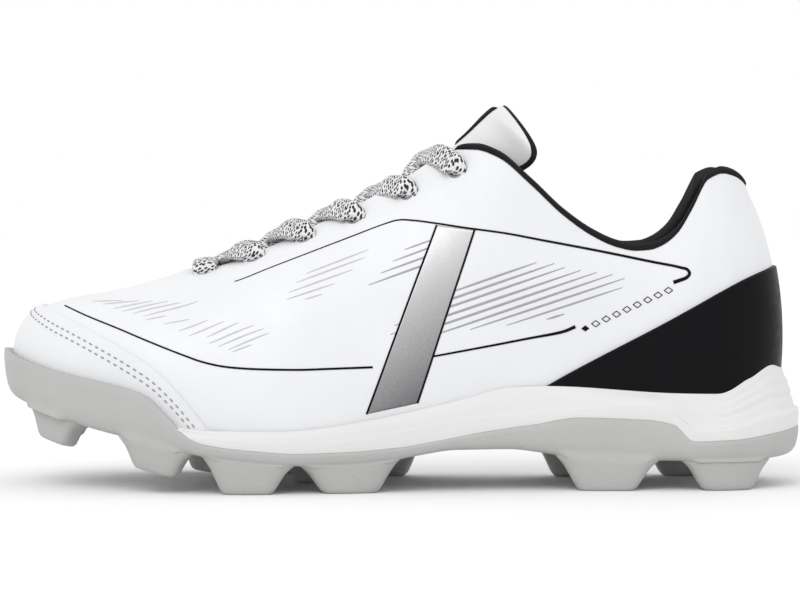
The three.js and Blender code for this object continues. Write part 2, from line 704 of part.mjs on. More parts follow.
// One stud at a point, turned to a heading, from its root down to its tip
function stud(centre, heading, length, width, tipHeight) {
  const ring = (lengthShare, widthShare, height) =>
    roundedRectangle(length * lengthShare, width * widthShare, STUD_ROUNDING).map((p) => {
      const q = p.rotateAround(new THREE.Vector2(), heading).add(centre);
      return new THREE.Vector3(q.x, q.y, height(q.x));
    });
  const tread = (x) => treadAt(xToAlong(x));
  const root = (x) => Math.min(tread(x) + STUD_ROOT, seamAt(xToAlong(x)) - ROOT_COVER);
  const waist = (x) => tipHeight(x) + STUD_CHAMFER;
  const chamfer = STUD_CHAMFER / length;
  return loft([
    ring(1, 1, root),
    ring(1, 1, tread),
    ring(STUD_TAPER + chamfer, STUD_SIDE_TAPER + chamfer, waist),
    ring(STUD_TAPER - chamfer, STUD_SIDE_TAPER - 2 * chamfer, tipHeight),
  ]);
}
const onGround = () => 0;
const followsToe = (x) => Math.max(treadAt(xToAlong(x)) - STUD_HEIGHT, 0);

function edgeStud({ side, at, inset, length, width, grounded }) {
  const turn = side < 0 ? Math.acos(1 - 2 * at) : 2 * Math.PI - Math.acos(1 - 2 * at);
  const { point, out } = edge(turn, STUD_INSET * inset);
  const heading = Math.atan2(out.y, out.x) + Math.PI / 2;
  const tip = grounded ? onGround : followsToe;
  return stud(point, heading, STUD_LENGTH * length, STUD_WIDTH * width, tip);
}
function middleStud({ at, swing, length, width }) {
  const centre = new THREE.Vector2(alongToX(at), HALF_BALL * swing);
  return stud(centre, 0, STUD_LENGTH * length, STUD_WIDTH * width, followsToe);
}
function outsole(room) {
  const studs = [...STUDS.map(edgeStud), ...MIDDLE_STUDS.map(middleStud)];
  return studs
    .reduce((sum, one) => sum.add(one), outsoleBlock(0))
    .subtract(outsoleCavity(0))
    .subtract(room);
}

// Midsole: fills the outsole's cup, stands flush over its wall and rises around the heel. Under
// the toe bumper it keeps inside the wall.
const MIDSOLE_ROUND = 0.5; // its edges are rounded this much
const MIDSOLE_LEAST = 1; // its side is never lower than this
const TUCK_SHARE = 0.6; // of the outsole's wall, where the bumper covers it
const TUCK_OVER = 2; // the bumper's height over the rim in which that share halves
function midsole(room) {
  const tuck = (at) =>
    OUTSOLE_WALL * THREE.MathUtils.clamp((seamAt(at) - rimAt(at)) / TUCK_OVER, 0, TUCK_SHARE);
  const rimInset = (at) =>
    footInset(at) - RIM_THICKNESS - COUNTER_THICKNESS - OVERLAY_GAP - CLEARANCE;
  const low = (at) => Math.min(seamAt(at), rimAt(at) - MIDSOLE_LEAST);
  const inFloor = (at) => treadAt(at) + OUTSOLE_THICKNESS / 2;
  const groove = (at) => grooveBetween(low(at), grooveAt(at), rimAt(at));
  const lip = (at) => MIDSOLE_LIP * grooveDepth(at);
  const upTo = (line, share) => (at) => THREE.MathUtils.lerp(low(at), line(at), share);
  const side = (height, inset) => loop((at) => Math.max(inset(at), tuck(at)), height);
  return stack([
    middleLoop(inFloor),
    side(inFloor, () => OUTSOLE_WALL - MIDSOLE_ROUND),
    side(low, () => 0.8 * MIDSOLE_ROUND),
    side(upTo(groove, 0.35), () => 0),
    side(upTo(groove, 0.85), () => 0.2 * MIDSOLE_ROUND),
    side((at) => groove(at) + 0.8 * MIDSOLE_ROUND, (at) => lip(at) + 0.4 * MIDSOLE_ROUND),
    side(
      (at) => THREE.MathUtils.lerp(groove(at), rimAt(at), 0.5),
      (at) => THREE.MathUtils.lerp(lip(at), rimInset(at), 0.35),
    ),
    side((at) => rimAt(at) - MIDSOLE_ROUND, (at) => rimInset(at) - 0.4 * MIDSOLE_ROUND),
    side(rimAt, (at) => rimInset(at) + MIDSOLE_ROUND),
    middleLoop(rimAt),
  ])
    .subtract(outsoleBlock(CLEARANCE).subtract(outsoleCavity(CLEARANCE)))
    .subtract(room);
}
// A groove's height, kept between the lines under and over it
function grooveBetween(low, value, high) {
  return THREE.MathUtils.clamp(value, low + 0.3 * (high - low), low + 0.8 * (high - low));
}

// Upper: the skin's wall, turned in under the foot, open at the collar and throat
function upperShell() {
  const underneath = (x) => floorAt(xToAlong(x)) + CLEARANCE;
  const sections = TURNS.map((turn, i) => {
    const { point } = edge(turn, footInset(turnToAlong(turn)) + LASTING_MARGIN);
    const turned = (lift) => new THREE.Vector3(point.x, point.y, underneath(point.x) + lift);
    const inner = rowsUp.map((j) => skinPoint(i, j, -UPPER_WALL));
    inner[0].z = underneath(inner[0].x) + UPPER_WALL;
    const foot = skinPoint(i, 0, 0);
    foot.z = underneath(foot.x);
    const outer = rowsUp.slice(1).map((j) => skinPoint(i, j, 0));
    return [turned(0), foot, ...outer, ...inner.reverse(), turned(UPPER_WALL)];
  });
  const topEdge = ROWS + 1;
  return loft(sections, {
    closed: true,
    skip: (i, j) => j === topEdge && isClosed(i) && isClosed(i + 1),
  });
}

const DRILL_SIDES = 8;
// A round cutter along a direction, centred on a point
function drill(centre, direction, radius, depth) {
  const shape = new THREE.CylinderGeometry(radius, radius, depth, DRILL_SIDES);
  const turn = new THREE.Quaternion().setFromUnitVectors(new THREE.Vector3(0, 1, 0), direction);
  shape.applyQuaternion(turn).translate(centre.x, centre.y, centre.z);
  shape.deleteAttribute("normal");
  shape.deleteAttribute("uv");
  const welded = mergeVertices(shape, WELD);
  const points = [];
  for (let i = 0; i < welded.attributes.position.count; i++)
    points.push(new THREE.Vector3().fromBufferAttribute(welded.attributes.position, i));
  const index = [...welded.index.array];
  return solid(points, Array.from({ length: index.length / 3 }, (_, i) => index.slice(3 * i, 3 * i + 3)));
}

// The middle of an eyelet on one side, and the direction out of the skin there
function eyelet(side, along) {
  const i = columnNear(side, along, (turn) => toplineAlong(turnToAlong(turn)));
  const j = ROWS * (1 - EYELET_INSET);
  const centre = skinBetween(i, j, 0);
  const out = skinBetween(i, j, 1).sub(centre).normalize();
  return { centre, out };
}
const SIDES = [-1, 1];

function upper() {
  let made = upperShell();
  for (const side of SIDES)
    for (const along of EYELETS) {
      const { centre, out } = eyelet(side, along);
      made = made.subtract(drill(centre, out, EYELET_RADIUS, 6 * UPPER_WALL));
    }
  return made;
}

// Collar lining: padding inside the collar whose roll closes over the upper's top edge
const LINING_FRONT = 0.44;
const liningFill = column(
  [
    { at: 0, fill: 1 },
    { at: 0.15, fill: 1 },
    { at: 0.28, fill: 0.85 },
    { at: 0.37, fill: 0.35 },
    { at: LINING_FRONT, fill: 0.15 },
  ],
  "fill",
);
// Across the roll: out from the skin, and up over the upper's edge, as shares of COLLAR_ROLL
const ROLL = [
  { out: 0.05, up: 0.12 },
  { out: 0.15, up: 0.5 },
  { out: -0.15, up: 0.85 },
  { out: -0.7, up: 1.0 },
];
const PAD_STEPS = 5;
const LINING_EDGE = 1.2;
const LINING_LIFT = 0.45; // the roll clears the upper's edge
function liningSection(i) {
  const fill = liningFill(turnToAlong(TURNS[i]));
  const top = skin.grid[i][ROWS];
  const out = skin.normals[i][ROWS];
  const up = top.clone().sub(skin.grid[i][ROWS - 1]).normalize();
  const columnLength = columnCurve(TURNS[i]).getLength();
  const depth = Math.min(LINING_DEPTH / columnLength, 0.6);
  const against = UPPER_WALL + CLEARANCE;
  const roll = ROLL.map((row) =>
    top
      .clone()
      .addScaledVector(out, COLLAR_ROLL * row.out)
      .addScaledVector(up, LINING_LIFT + COLLAR_ROLL * row.up),
  );
  const lowest = ROWS * (1 - depth);
  const down = Array.from({ length: PAD_STEPS + 1 }, (_, n) => Math.max(ROWS - n, lowest));
  const padding = (j) => {
    const share = (ROWS - j) / (ROWS - lowest);
    const swell = Math.sin(Math.PI * THREE.MathUtils.lerp(0.3, 0.98, share));
    return LINING_EDGE + (LINING_THICKNESS - LINING_EDGE) * fill * swell;
  };
  const inner = down.map((j) => skinBetween(i, j, -(against + padding(j))));
  const outer = down.map((j) => skinBetween(i, j, -against));
  outer[0].addScaledVector(up, LINING_LIFT);
  return [...outer, ...inner.reverse(), ...roll.reverse()];
}
function collarLining() {
  const to = Math.floor(columnNear(-1, LINING_FRONT));
  const sections = [];
  for (let i = -to; i <= to; i++) sections.push(liningSection((i + TURNS.length) % TURNS.length));
  return loft(sections);
}

// Insole: a thin board that lies on the upper's turned-in edge
const INSOLE_GAP = 1; // from the upper's wall
const INSOLE_ROUND = 1.5; // the underside's edge
const INSOLE_CUP = 6; // the raised edge's width
function insole() {
  const inset = (more) => (at) => footInset(at) + UPPER_WALL + INSOLE_GAP + more;
  const bottom = (at) => floorAt(at) + UPPER_WALL + 2 * CLEARANCE;
  const lift = (share) => (at) => bottom(at) + share * INSOLE_THICKNESS;
  return stack([
    middleLoop(bottom),
    loop(inset(LASTING_MARGIN - UPPER_WALL), bottom),
    loop(inset(INSOLE_ROUND), bottom),
    loop(inset(0), lift(0.4)),
    loop(inset(INSOLE_ROUND / 2), lift(1.1)),
    loop(inset(INSOLE_CUP), lift(1)),
    middleLoop(lift(1)),
  ]);
}

// Tongue: ribs that arch over the instep, pass under the throat's edges and lean back at the top
const tongueColumn = (name) => column(TONGUE, name, "along");
const tongueLean = tongueColumn("lean");
const tongueWidth = tongueColumn("width");
const tongueFall = tongueColumn("fall");
const tongueArch = tongueColumn("arch");
const tongueSwing = tongueColumn("swing");
const TONGUE_FRONT = TONGUE.at(-1).along;
const TONGUE_TOP = TONGUE[0].along;
const tongueHalf = (along) => (TONGUE_WIDTH * tongueWidth(along)) / 2;

// The crown's height: its own table above the throat, and below it what lets the tongue pass just
// under the throat's edges
const tongueHeight = (() => {
  const free = TONGUE_CROWN.map((row) => [row.along, STUD_HEIGHT + UPPER_HEIGHT * row.height]);
  const under = TOPLINE.filter((row) => row.along > THROAT_TOP).map((row) => {
    const aside = ridgeSwing(row.along) - tongueSwing(row.along);
    const reach = Math.max(HALF_BALL * (row.apart - aside) - UPPER_WALL, 0);
    const across = Math.min(reach / tongueHalf(row.along), 1);
    const fall = TONGUE_WIDTH * tongueFall(row.along) * across ** tongueArch(row.along);
    const edgeHeight = STUD_HEIGHT + UPPER_HEIGHT * row.height;
    return [row.along, edgeHeight - (UPPER_WALL + TONGUE_GAP) * THROAT_SLOPE + fall];
  });
  const rows = [...free, ...under];
  return through(
    rows.map(([along]) => along),
    rows.map(([, height]) => height),
  );
})();

// A point of the tongue's outer face, or of a face offset from it: along the shoe and across, -1 to 1
function tonguePoint(along, across, offset = 0) {
  const lean = THREE.MathUtils.degToRad(tongueLean(along));
  const half = tongueHalf(along);
  const whole = TONGUE_WIDTH * tongueFall(along);
  const arch = tongueArch(along);
  const fall = whole * Math.abs(across) ** arch;
  const steepness = (arch * whole * Math.abs(across) ** (arch - 1)) / half;
  const tilt = Math.atan(steepness) * Math.sign(across);
  const down = fall - offset * Math.cos(tilt);
  return new THREE.Vector3(
    alongToX(along) + Math.sin(lean) * down,
    HALF_BALL * tongueSwing(along) + half * across + offset * Math.sin(tilt),
    tongueHeight(along) - Math.cos(lean) * down,
  );
}
const acrossSteps = Array.from({ length: TONGUE_CUTS + 1 }, (_, n) => (2 * n) / TONGUE_CUTS - 1);
const ribAlong = (n) => THREE.MathUtils.lerp(TONGUE_FRONT, TONGUE_TOP, n / TONGUE_RIBS);
function tongue() {
  const sections = Array.from({ length: TONGUE_RIBS + 1 }, (_, n) => {
    const along = ribAlong(n);
    return [
      ...acrossSteps.map((w) => tonguePoint(along, w)),
      ...[...acrossSteps].reverse().map((w) => tonguePoint(along, w, -TONGUE_THICKNESS)),
    ];
  });
  return loft(sections);
}

// A plain narrow strip sewn on the tongue's crown near its top, over the tongue's own ribs
const LABEL_RIBS = [2.5, 2, 1, 0.3]; // counted down from the top
const LABEL_ACROSS = 0.2; // share of the tongue's half width
// A point over the tongue's own facets, so many ribs down from its top
function overTongue(down, across, offset) {
  const above = Math.floor(down);
  const [upper, lower] = [above, above + 1].map((n) =>
    tonguePoint(ribAlong(TONGUE_RIBS - n), across, offset),
  );
  return upper.lerp(lower, down - above);
}
function tongueLabel() {
  const cuts = acrossSteps.filter((w) => Math.abs(w) <= LABEL_ACROSS + WELD);
  const sections = LABEL_RIBS.map((down) => [
    ...cuts.map((w) => overTongue(down, w, CLEARANCE + LABEL_THICKNESS)),
    ...[...cuts].reverse().map((w) => overTongue(down, w, CLEARANCE)),
  ]);
  return loft(sections);
}

// Laces

// A flat cord through points, each with the direction that its flat side faces
const LACE_SECTION_POINTS = 8;
const LACE_STEPS = 8;
function laceRun(stops) {
  const path = new THREE.CatmullRomCurve3(stops.map((s) => s.at), false, "centripetal");
  const facing = new THREE.CatmullRomCurve3(stops.map((s) => s.facing), false, "centripetal");
  const sections = Array.from({ length: LACE_STEPS + 1 }, (_, n) => {
    const share = n / LACE_STEPS;
    const centre = path.getPoint(share);
    const ahead = path.getTangent(share);
    const face = facing.getPoint(share).normalize();
    const across = ahead.clone().cross(face).normalize();
    const up = across.clone().cross(ahead).normalize();
    return roundedRectangle(LACE_WIDTH, LACE_THICKNESS, 2.4, LACE_SECTION_POINTS).map((p) =>
      centre.clone().addScaledVector(across, p.x).addScaledVector(up, p.y),
    );
  });
  return loft(sections);
}
const LACE_LIFT = LACE_THICKNESS / 2 + CLEARANCE;
const LACE_RISE = 0.6; // a run stands this much more off the upper beside its eyelet
const BAR_RISE = 3.4; // the middle of the bar over the tongue
const LACE_SAG = 0.8; // the lower cord of a crossing over the tongue

// A stop on the upper beside an eyelet, or where the throat's edge is crossed
function onUpper(side, along, down, lift) {
  const i = columnNear(side, along, (turn) => toplineAlong(turnToAlong(turn)));
  const j = ROWS * (1 - down);
  const at = skinBetween(i, j, lift);
  return { at, facing: at.clone().sub(skinBetween(i, j, 0)).normalize() };
}
const onTongue = (along, across, lift) => ({
  at: tonguePoint(along, across, lift),
  facing: tonguePoint(along, across, lift + 1).sub(tonguePoint(along, across, lift)).normalize(),
});

// The straight bar over the lowest pair of eyelets
function laceBar() {
  const along = EYELETS[0];
  return laceRun([
    onUpper(-1, along, EYELET_INSET, LACE_LIFT + LACE_RISE),
    onUpper(-1, along, EYELET_INSET * 0.45, LACE_LIFT + 1.3 * LACE_RISE),
    onTongue(along, 0, LACE_LIFT + BAR_RISE),
    onUpper(1, along, EYELET_INSET * 0.45, LACE_LIFT + 1.3 * LACE_RISE),
    onUpper(1, along, EYELET_INSET, LACE_LIFT + LACE_RISE),
  ]);
}
// One cord of a crossing: from an eyelet on one side, over the throat's edge and the tongue, and
// down beside the other side's edge one row further forward
function laceDiagonal(side, row, lift) {
  const [front, back] = [EYELETS[row - 1], EYELETS[row]];
  const between = (share) => THREE.MathUtils.lerp(back, front, share);
  return laceRun([
    onUpper(side, back, EYELET_INSET, LACE_LIFT + 0.7 * LACE_RISE),
    onUpper(side, between(0.1), EYELET_INSET * 0.45, LACE_LIFT + 1.2 * LACE_RISE),
    onUpper(side, between(0.2), 0, LACE_LIFT + 2 * LACE_RISE),
    onTongue(between(0.42), side * 0.05, LACE_LIFT + lift),
    onTongue(between(0.6), -side * 0.3, LACE_LIFT + LACE_SAG),
  ]);
}
const laceCrossing = (row) =>
  laceDiagonal(-1, row, LACE_SAG).add(laceDiagonal(1, row, LACE_SAG + 0.8 * LACE_THICKNESS));

// Assembly
const MATERIALS = {
  rubber: new THREE.MeshStandardMaterial({ color: 0xb2b2b0, roughness: 0.75 }),
  foam: new THREE.MeshStandardMaterial({ color: 0xe6e6e4, roughness: 0.7 }),
  whiteLeather: new THREE.MeshStandardMaterial({ color: 0xf6f6f8, roughness: 0.45 }),
  blackFilm: new THREE.MeshStandardMaterial({ color: 0x17171a, roughness: 0.4 }),
  blackTextile: new THREE.MeshStandardMaterial({ color: 0x1c1c1e, roughness: 0.9 }),
  laceCord: new THREE.MeshStandardMaterial({ color: 0xd8d8d6, roughness: 0.85 }),
};

function mesh(name, made, material) {
  const data = made.getMesh();
  const geometry = new THREE.BufferGeometry();
  const positions = new Float32Array(data.numVert * 3);
  for (let i = 0; i < data.numVert; i++)
    for (let k = 0; k < 3; k++) positions[3 * i + k] = data.vertProperties[data.numProp * i + k];
  geometry.setAttribute("position", new THREE.BufferAttribute(positions, 3));
  geometry.setIndex(new THREE.BufferAttribute(data.triVerts, 1));
  geometry.computeVertexNormals();
  const part = new THREE.Mesh(geometry, material);
  part.name = name;
  return part;
}

const room = upperRoom();
const cleat = new THREE.Group();
cleat.add(
  mesh("outsole", outsole(room), MATERIALS.rubber),
  mesh("midsole", midsole(room), MATERIALS.foam),
  mesh("upper", upper(), MATERIALS.whiteLeather),
  mesh("toe_cap", overlay(TOE_CAP, false), MATERIALS.whiteLeather),
  mesh("heel_counter", overlay(HEEL_COUNTER, false), MATERIALS.blackFilm),
  mesh("collar_lining", collarLining(), MATERIALS.blackTextile),
  mesh("insole", insole(), MATERIALS.blackTextile),
  mesh("tongue", tongue(), MATERIALS.whiteLeather),
  mesh("tongue_label", tongueLabel(), MATERIALS.blackTextile),
  mesh("lace_bar", laceBar(), MATERIALS.laceCord),
);
for (let row = 1; row < EYELETS.length; row++)
  cleat.add(mesh(`lace_crossing_${row}`, laceCrossing(row), MATERIALS.laceCord));

export default cleat;
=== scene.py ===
"""Looks of a left baseball cleat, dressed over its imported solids.

Sizes are millimetres until a mesh is made, which is in metres. The toe points along -X, +Z is up
and the outer side of the foot is -Y. A place along the shoe, "at", is a share of LENGTH from the
back of the heel. A column climbs from the sole's edge to the collar, the throat or the toe's ridge,
and a "turn" names it: 0 at the heel, pi at the toe, first along the outer side.
"""

import logging
import math
from dataclasses import dataclass
from enum import Enum
from functools import partial
from typing import Callable

import bmesh
import bpy
import numpy as np
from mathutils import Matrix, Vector

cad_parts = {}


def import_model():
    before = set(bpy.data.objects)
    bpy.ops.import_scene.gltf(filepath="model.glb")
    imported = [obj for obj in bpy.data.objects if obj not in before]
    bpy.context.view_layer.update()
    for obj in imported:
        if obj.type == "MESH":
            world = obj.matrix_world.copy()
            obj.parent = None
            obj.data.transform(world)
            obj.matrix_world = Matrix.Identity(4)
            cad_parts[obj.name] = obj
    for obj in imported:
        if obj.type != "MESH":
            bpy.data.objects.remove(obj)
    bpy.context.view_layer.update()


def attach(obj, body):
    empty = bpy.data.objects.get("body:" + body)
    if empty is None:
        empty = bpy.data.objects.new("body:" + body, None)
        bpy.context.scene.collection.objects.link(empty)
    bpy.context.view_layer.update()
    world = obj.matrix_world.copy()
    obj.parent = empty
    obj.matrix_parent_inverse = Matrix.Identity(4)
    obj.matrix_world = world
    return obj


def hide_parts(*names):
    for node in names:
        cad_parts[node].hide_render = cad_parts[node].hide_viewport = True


LOG = logging.getLogger("cleat")
MM = 0.001
BODY = "root"
Array = np.ndarray
Line = Callable[[Array], Array]
Plan = Callable[[Array, Array], Array]
Colour = tuple[float, float, float]
Object = bpy.types.Object
Material = bpy.types.Material
Socket = bpy.types.NodeSocket

# Driving dimensions, the same as the solids'
LENGTH = 292.0
BALL_WIDTH = 102.0
HALF_BALL = BALL_WIDTH / 2
STUD_HEIGHT = 9.5
SOLE_HEIGHT = 26.5
UPPER_HEIGHT = 112.5
CLEARANCE = 0.3
UPPER_WALL = 1.8
LASTING_MARGIN = 9.0
RIM_STEP = 5.0
RIM_THICKNESS = 0.9
TOE_CAP_THICKNESS = 1.2
COUNTER_THICKNESS = 1.0
OVERLAY_GAP = 0.35
OUTSOLE_WALL = 4.0
MIDSOLE_LIP = 1.5
INSOLE_THICKNESS = 3.6
LINING_THICKNESS = 6.5
LINING_DEPTH = 36.0
LINING_EDGE = 1.2
LINING_LIFT = 0.45
LINING_FRONT = 0.44
COLLAR_ROLL = 2.6
TONGUE_THICKNESS = 3.4
TONGUE_WIDTH = 58.0
TONGUE_GAP = 0.7
THROAT_SLOPE = 1.25
LABEL_THICKNESS = 0.8
EYELET_RADIUS = 2.3
EYELET_INSET = 0.11
LACE_WIDTH = 8.2
LACE_THICKNESS = 2.8
TOE_SWING = 0.155
THROAT_END = 0.775
THROAT_TOP = 0.445
TOE_CAP_BACK = 0.728
COUNTER_FRONT = 0.345
EYELETS = (0.742, 0.68, 0.617, 0.556, 0.491, 0.43)


def table(names: str, *rows: tuple[float, ...]) -> dict[str, Array]:
    """Names the columns of a short table.

    Args:
        names: the columns' names, in order.
        rows: the rows.

    Returns:
        Each column as an array.
    """
    return dict(zip(names.split(), np.array(rows, float).T))


# Half widths of the sole's edge from above, as shares of half the ball width
OUTLINE = table(
    "at outer inner",
    (0.03, 0.46, 0.46), (0.06, 0.6, 0.6), (0.1, 0.69, 0.68), (0.15, 0.71, 0.7),
    (0.22, 0.7, 0.67), (0.31, 0.7, 0.62), (0.4, 0.74, 0.6), (0.5, 0.83, 0.66),
    (0.58, 0.92, 0.78), (0.65, 0.99, 0.9), (0.7, 1, 0.97), (0.75, 0.97, 1),
    (0.8, 0.9, 0.98), (0.86, 0.765, 0.9), (0.92, 0.57, 0.755), (0.97, 0.305, 0.54),
)  # fmt: skip

# Heights of the sole's lines, as shares of SOLE_HEIGHT above the tread
TREAD = table(
    "at height",
    (0, 0.06), (0.06, 0.03), (0.2, 0.03), (0.3, 0.1), (0.37, 0.19), (0.43, 0.19), (0.48, 0.12),
    (0.52, 0.04), (0.57, 0), (0.64, 0.01), (0.7, 0.07), (0.76, 0.18), (0.82, 0.33), (0.88, 0.47),
    (0.94, 0.66), (1, 0.86),
)  # fmt: skip
SEAM = table(
    "at height",
    (0, 0.46), (0.04, 0.4), (0.09, 0.33), (0.142, 0.31), (0.168, 0.54), (0.2, 0.6), (0.284, 0.63),
    (0.33, 0.55), (0.39, 0.46), (0.45, 0.34), (0.5, 0.25), (0.56, 0.2), (0.62, 0.185), (0.68, 0.23),
    (0.735, 0.31), (0.752, 0.38), (0.78, 0.67), (0.804, 0.92), (0.822, 1.01), (0.86, 1.11),
    (0.92, 1.24), (0.97, 1.39), (1, 1.5),
)  # fmt: skip
RIM = table(
    "at height",
    (0, 1.27), (0.025, 1.29), (0.04, 1.35), (0.07, 1.15), (0.112, 0.94), (0.17, 0.955), (0.32, 1.05),
    (0.37, 1.03), (0.42, 0.89), (0.48, 0.74), (0.54, 0.61), (0.6, 0.51), (0.65, 0.48), (0.73, 0.49),
    (0.8, 0.61), (0.9, 0.88), (1, 1.18),
)  # fmt: skip
FLOOR = table(
    "at height",
    (0, 0.7), (0.2, 0.68), (0.35, 0.62), (0.45, 0.53), (0.55, 0.4), (0.65, 0.35), (0.73, 0.39),
    (0.8, 0.55), (0.9, 0.83), (1, 1.12),
)  # fmt: skip
GROOVE = table(
    "at height depth",
    (0, 0.73, 1), (0.05, 0.66, 1), (0.1, 0.49, 1), (0.137, 0.48, 1), (0.152, 0.58, 0.9),
    (0.17, 0.72, 0.4), (0.2, 0.8, 0.1), (0.4, 0.66, 0.1), (0.6, 0.34, 0.1), (0.75, 0.42, 0.1),
    (1, 1.1, 0.1),
)  # fmt: skip
STEP = table(
    "at inset",
    (0, 1.86), (0.05, 1.7), (0.1, 1.44), (0.2, 1.16), (0.35, 1), (0.5, 0.9), (0.65, 0.88),
    (0.8, 0.96), (1, 0.96),
)  # fmt: skip
OUTSOLE_SIDE = table(
    "inset rise", (9, 0), (3.4, 0.07), (1.2, 0.28), (0.3, 0.6), (0, 0.85), (0.2, 1)
)

# The outsole's rim above its seam, and the insole's board from its underside to its cupped top
OUTSOLE_RIM = table("inset lift", (0.6, 0.08), (1.8, 0.08), (3.2, 0.0), (3.4, -1.5), (3.4, -4.0))
BOARD = table(
    "inset share",
    (7.2, 0), (1.5, 0), (0.2, 0.2), (0, 0.5), (0.3, 0.9), (0.8, 1.1), (2.5, 1.06), (6, 1), (12, 1),
)  # fmt: skip
MIDDLE_ENDS = (0.12, 0.87)

# The upper's top ends, its ridge's swing and how its columns bulge, as the solids have them
TOPLINE = table(
    "at along apart height",
    (0, 0.066, 0, 0.872), (0.03, 0.07, 0.17, 0.882), (0.07, 0.083, 0.31, 0.908),
    (0.1, 0.102, 0.405, 0.92), (0.125, 0.122, 0.46, 0.9), (0.145, 0.143, 0.49, 0.802),
    (0.162, 0.161, 0.508, 0.728), (0.178, 0.178, 0.52, 0.692), (0.193, 0.193, 0.527, 0.677),
    (0.212, 0.212, 0.533, 0.6735), (0.233, 0.233, 0.537, 0.684), (0.262, 0.262, 0.54, 0.717),
    (0.3, 0.3, 0.54, 0.786), (0.34, 0.34, 0.52, 0.884),
    (0.38, 0.379, 0.475, 0.97), (0.41, 0.407, 0.415, 0.996), (0.435, 0.428, 0.345, 0.998),
    (0.455, 0.446, 0.3, 0.984), (0.5, 0.495, 0.255, 0.907), (0.56, 0.555, 0.225, 0.819),
    (0.62, 0.615, 0.198, 0.744), (0.68, 0.675, 0.17, 0.672), (0.72, 0.714, 0.145, 0.632),
    (0.75, 0.742, 0.11, 0.615), (THROAT_END, 0.762, 0, 0.614), (0.82, 0.782, 0, 0.597),
    (0.88, 0.812, 0, 0.57), (0.95, 0.845, 0, 0.546), (1, 0.86, 0, 0.536),
)  # fmt: skip
RIDGE = table(
    "at swing",
    (0, 0), (0.3, 0.01), (0.45, 0.04), (0.6, 0.06), (0.76, 0.09), (0.87, 0.13), (1, TOE_SWING),
)  # fmt: skip
BULGE = table(
    "at foot rise reach drop",
    (0, 0.085, 0.33, 1.25, 0.3), (0.1, 0.075, 0.33, 1.15, 0.32), (0.2, 0.06, 0.35, 1, 0.3),
    (0.35, 0.05, 0.34, 0.8, 0.26), (0.45, 0.05, 0.33, 0.62, 0.2), (0.55, 0.05, 0.36, 0.58, 0.13),
    (0.65, 0.045, 0.44, 0.62, 0.06), (0.76, 0.04, 0.52, 0.66, 0.01), (0.88, 0.035, 0.58, 0.7, 0.02),
    (1, 0.03, 0.66, 0.85, 0.07),
)  # fmt: skip
TOE_CAP_EDGE = table(
    "at height",
    (0.725, 0.1), (0.75, 0.18), (0.771, 0.242), (0.792, 0.293), (0.808, 0.323), (0.864, 0.4),
    (0.916, 0.459), (0.95, 0.489), (1, 0.52),
)  # fmt: skip
COUNTER_EDGE = table(
    "at height", (0.02, 0.638), (0.07, 0.593), (0.18, 0.443), (0.33, 0.235), (0.35, 0.2)
)
TONGUE = table(
    "along width fall arch lean swing",
    (0.373, 0.84, 0.3, 2.2, 46, 0), (0.385, 0.84, 0.36, 2.2, 45, 0),
    (0.396, 0.7, 0.39, 2.3, 41, 0), (0.415, 0.57, 0.28, 2.7, 30, 0), (0.435, 0.58, 0.25, 3.4, 22, 0),
    (0.47, 0.6, 0.23, 4, 12, 0.005), (0.52, 0.61, 0.2, 4, 5, 0.02), (0.58, 0.6, 0.17, 3.5, 2, 0.04),
    (0.64, 0.58, 0.15, 3, 0, 0.06), (0.7, 0.55, 0.13, 2.5, 0, 0.08), (0.74, 0.5, 0.11, 2.5, 0, 0.09),
    (0.79, 0.42, 0.09, 2.5, 0, 0.1),
)  # fmt: skip
TONGUE_CROWN = table(
    "along height", (0.373, 1.146), (0.384, 1.13), (0.4185, 1.043), (0.4346, 1.007)
)
LINING_FILL = table("at fill", (0, 1), (0.15, 1), (0.28, 0.85), (0.37, 0.35), (LINING_FRONT, 0.15))
ROLL = table("out up", (0.05, 0.12), (0.15, 0.5), (-0.15, 0.85), (-0.7, 1.0))

# The eyelets' rolled edge, in radii out and millimetres off the skin, and the toe cap's rows of stitches
EYELET_EDGE = table(
    "reach rise", (1.28, -0.12), (1.26, 0.1), (1.14, 0.2), (1, 0.08), (0.95, -0.5), (0.95, -2.2), (1.1, -2.3)
)
TOE_CAP_SEAMS = (4.9, 7.3)

STUD_TAPER = 0.6
STUD_SIDE_TAPER = 0.72
STUD_ROUNDING = 4.0
STUDS = table(
    "side at inset length width grounded",
    (-1, 0.945, 10, 21, 12, 0), (1, 0.95, 10, 21, 12, 0), (-1, 0.803, 8.5, 24, 14, 0),
    (1, 0.79, 8.5, 25, 14, 0), (-1, 0.683, 8.5, 29, 14, 1), (1, 0.64, 8.5, 29, 14, 1),
    (-1, 0.556, 8.5, 33, 14, 1), (1, 0.515, 8, 28, 13, 1), (-1, 0.247, 7.5, 34, 13, 1),
    (1, 0.275, 7.5, 30, 12, 1), (-1, 0.094, 9, 29, 14, 1), (1, 0.13, 8.5, 30, 13, 1),
)  # fmt: skip
MIDDLE_STUDS = table("at swing length width", (0.745, 0.08, 17, 13), (0.615, 0.02, 17, 13))


class Side(Enum):
    """The two sides of the foot, with the sign of Y there."""

    OUTER = -1
    INNER = 1


# Curves


def eased(share: Array) -> Array:
    """A share that leaves 0 and reaches 1 level: three squares less two cubes."""
    return share * share * (3 - 2 * share)


def cubic(start: Array, end: Array, leaving: Array, arriving: Array, t: Array) -> Array:
    """A cubic between two values: their level blend, and what the slopes add to it.

    Args:
        start: the value at 0.
        end: the value at 1.
        leaving: the slope at 0.
        arriving: the slope at 1.
        t: how far along, from 0 to 1.

    Returns:
        The values.
    """
    u = 1 - t
    ends = start * u * u * (1 + 2 * t) + end * t * t * (3 - 2 * t)
    return ends + t * u * (leaving * u - arriving * t)


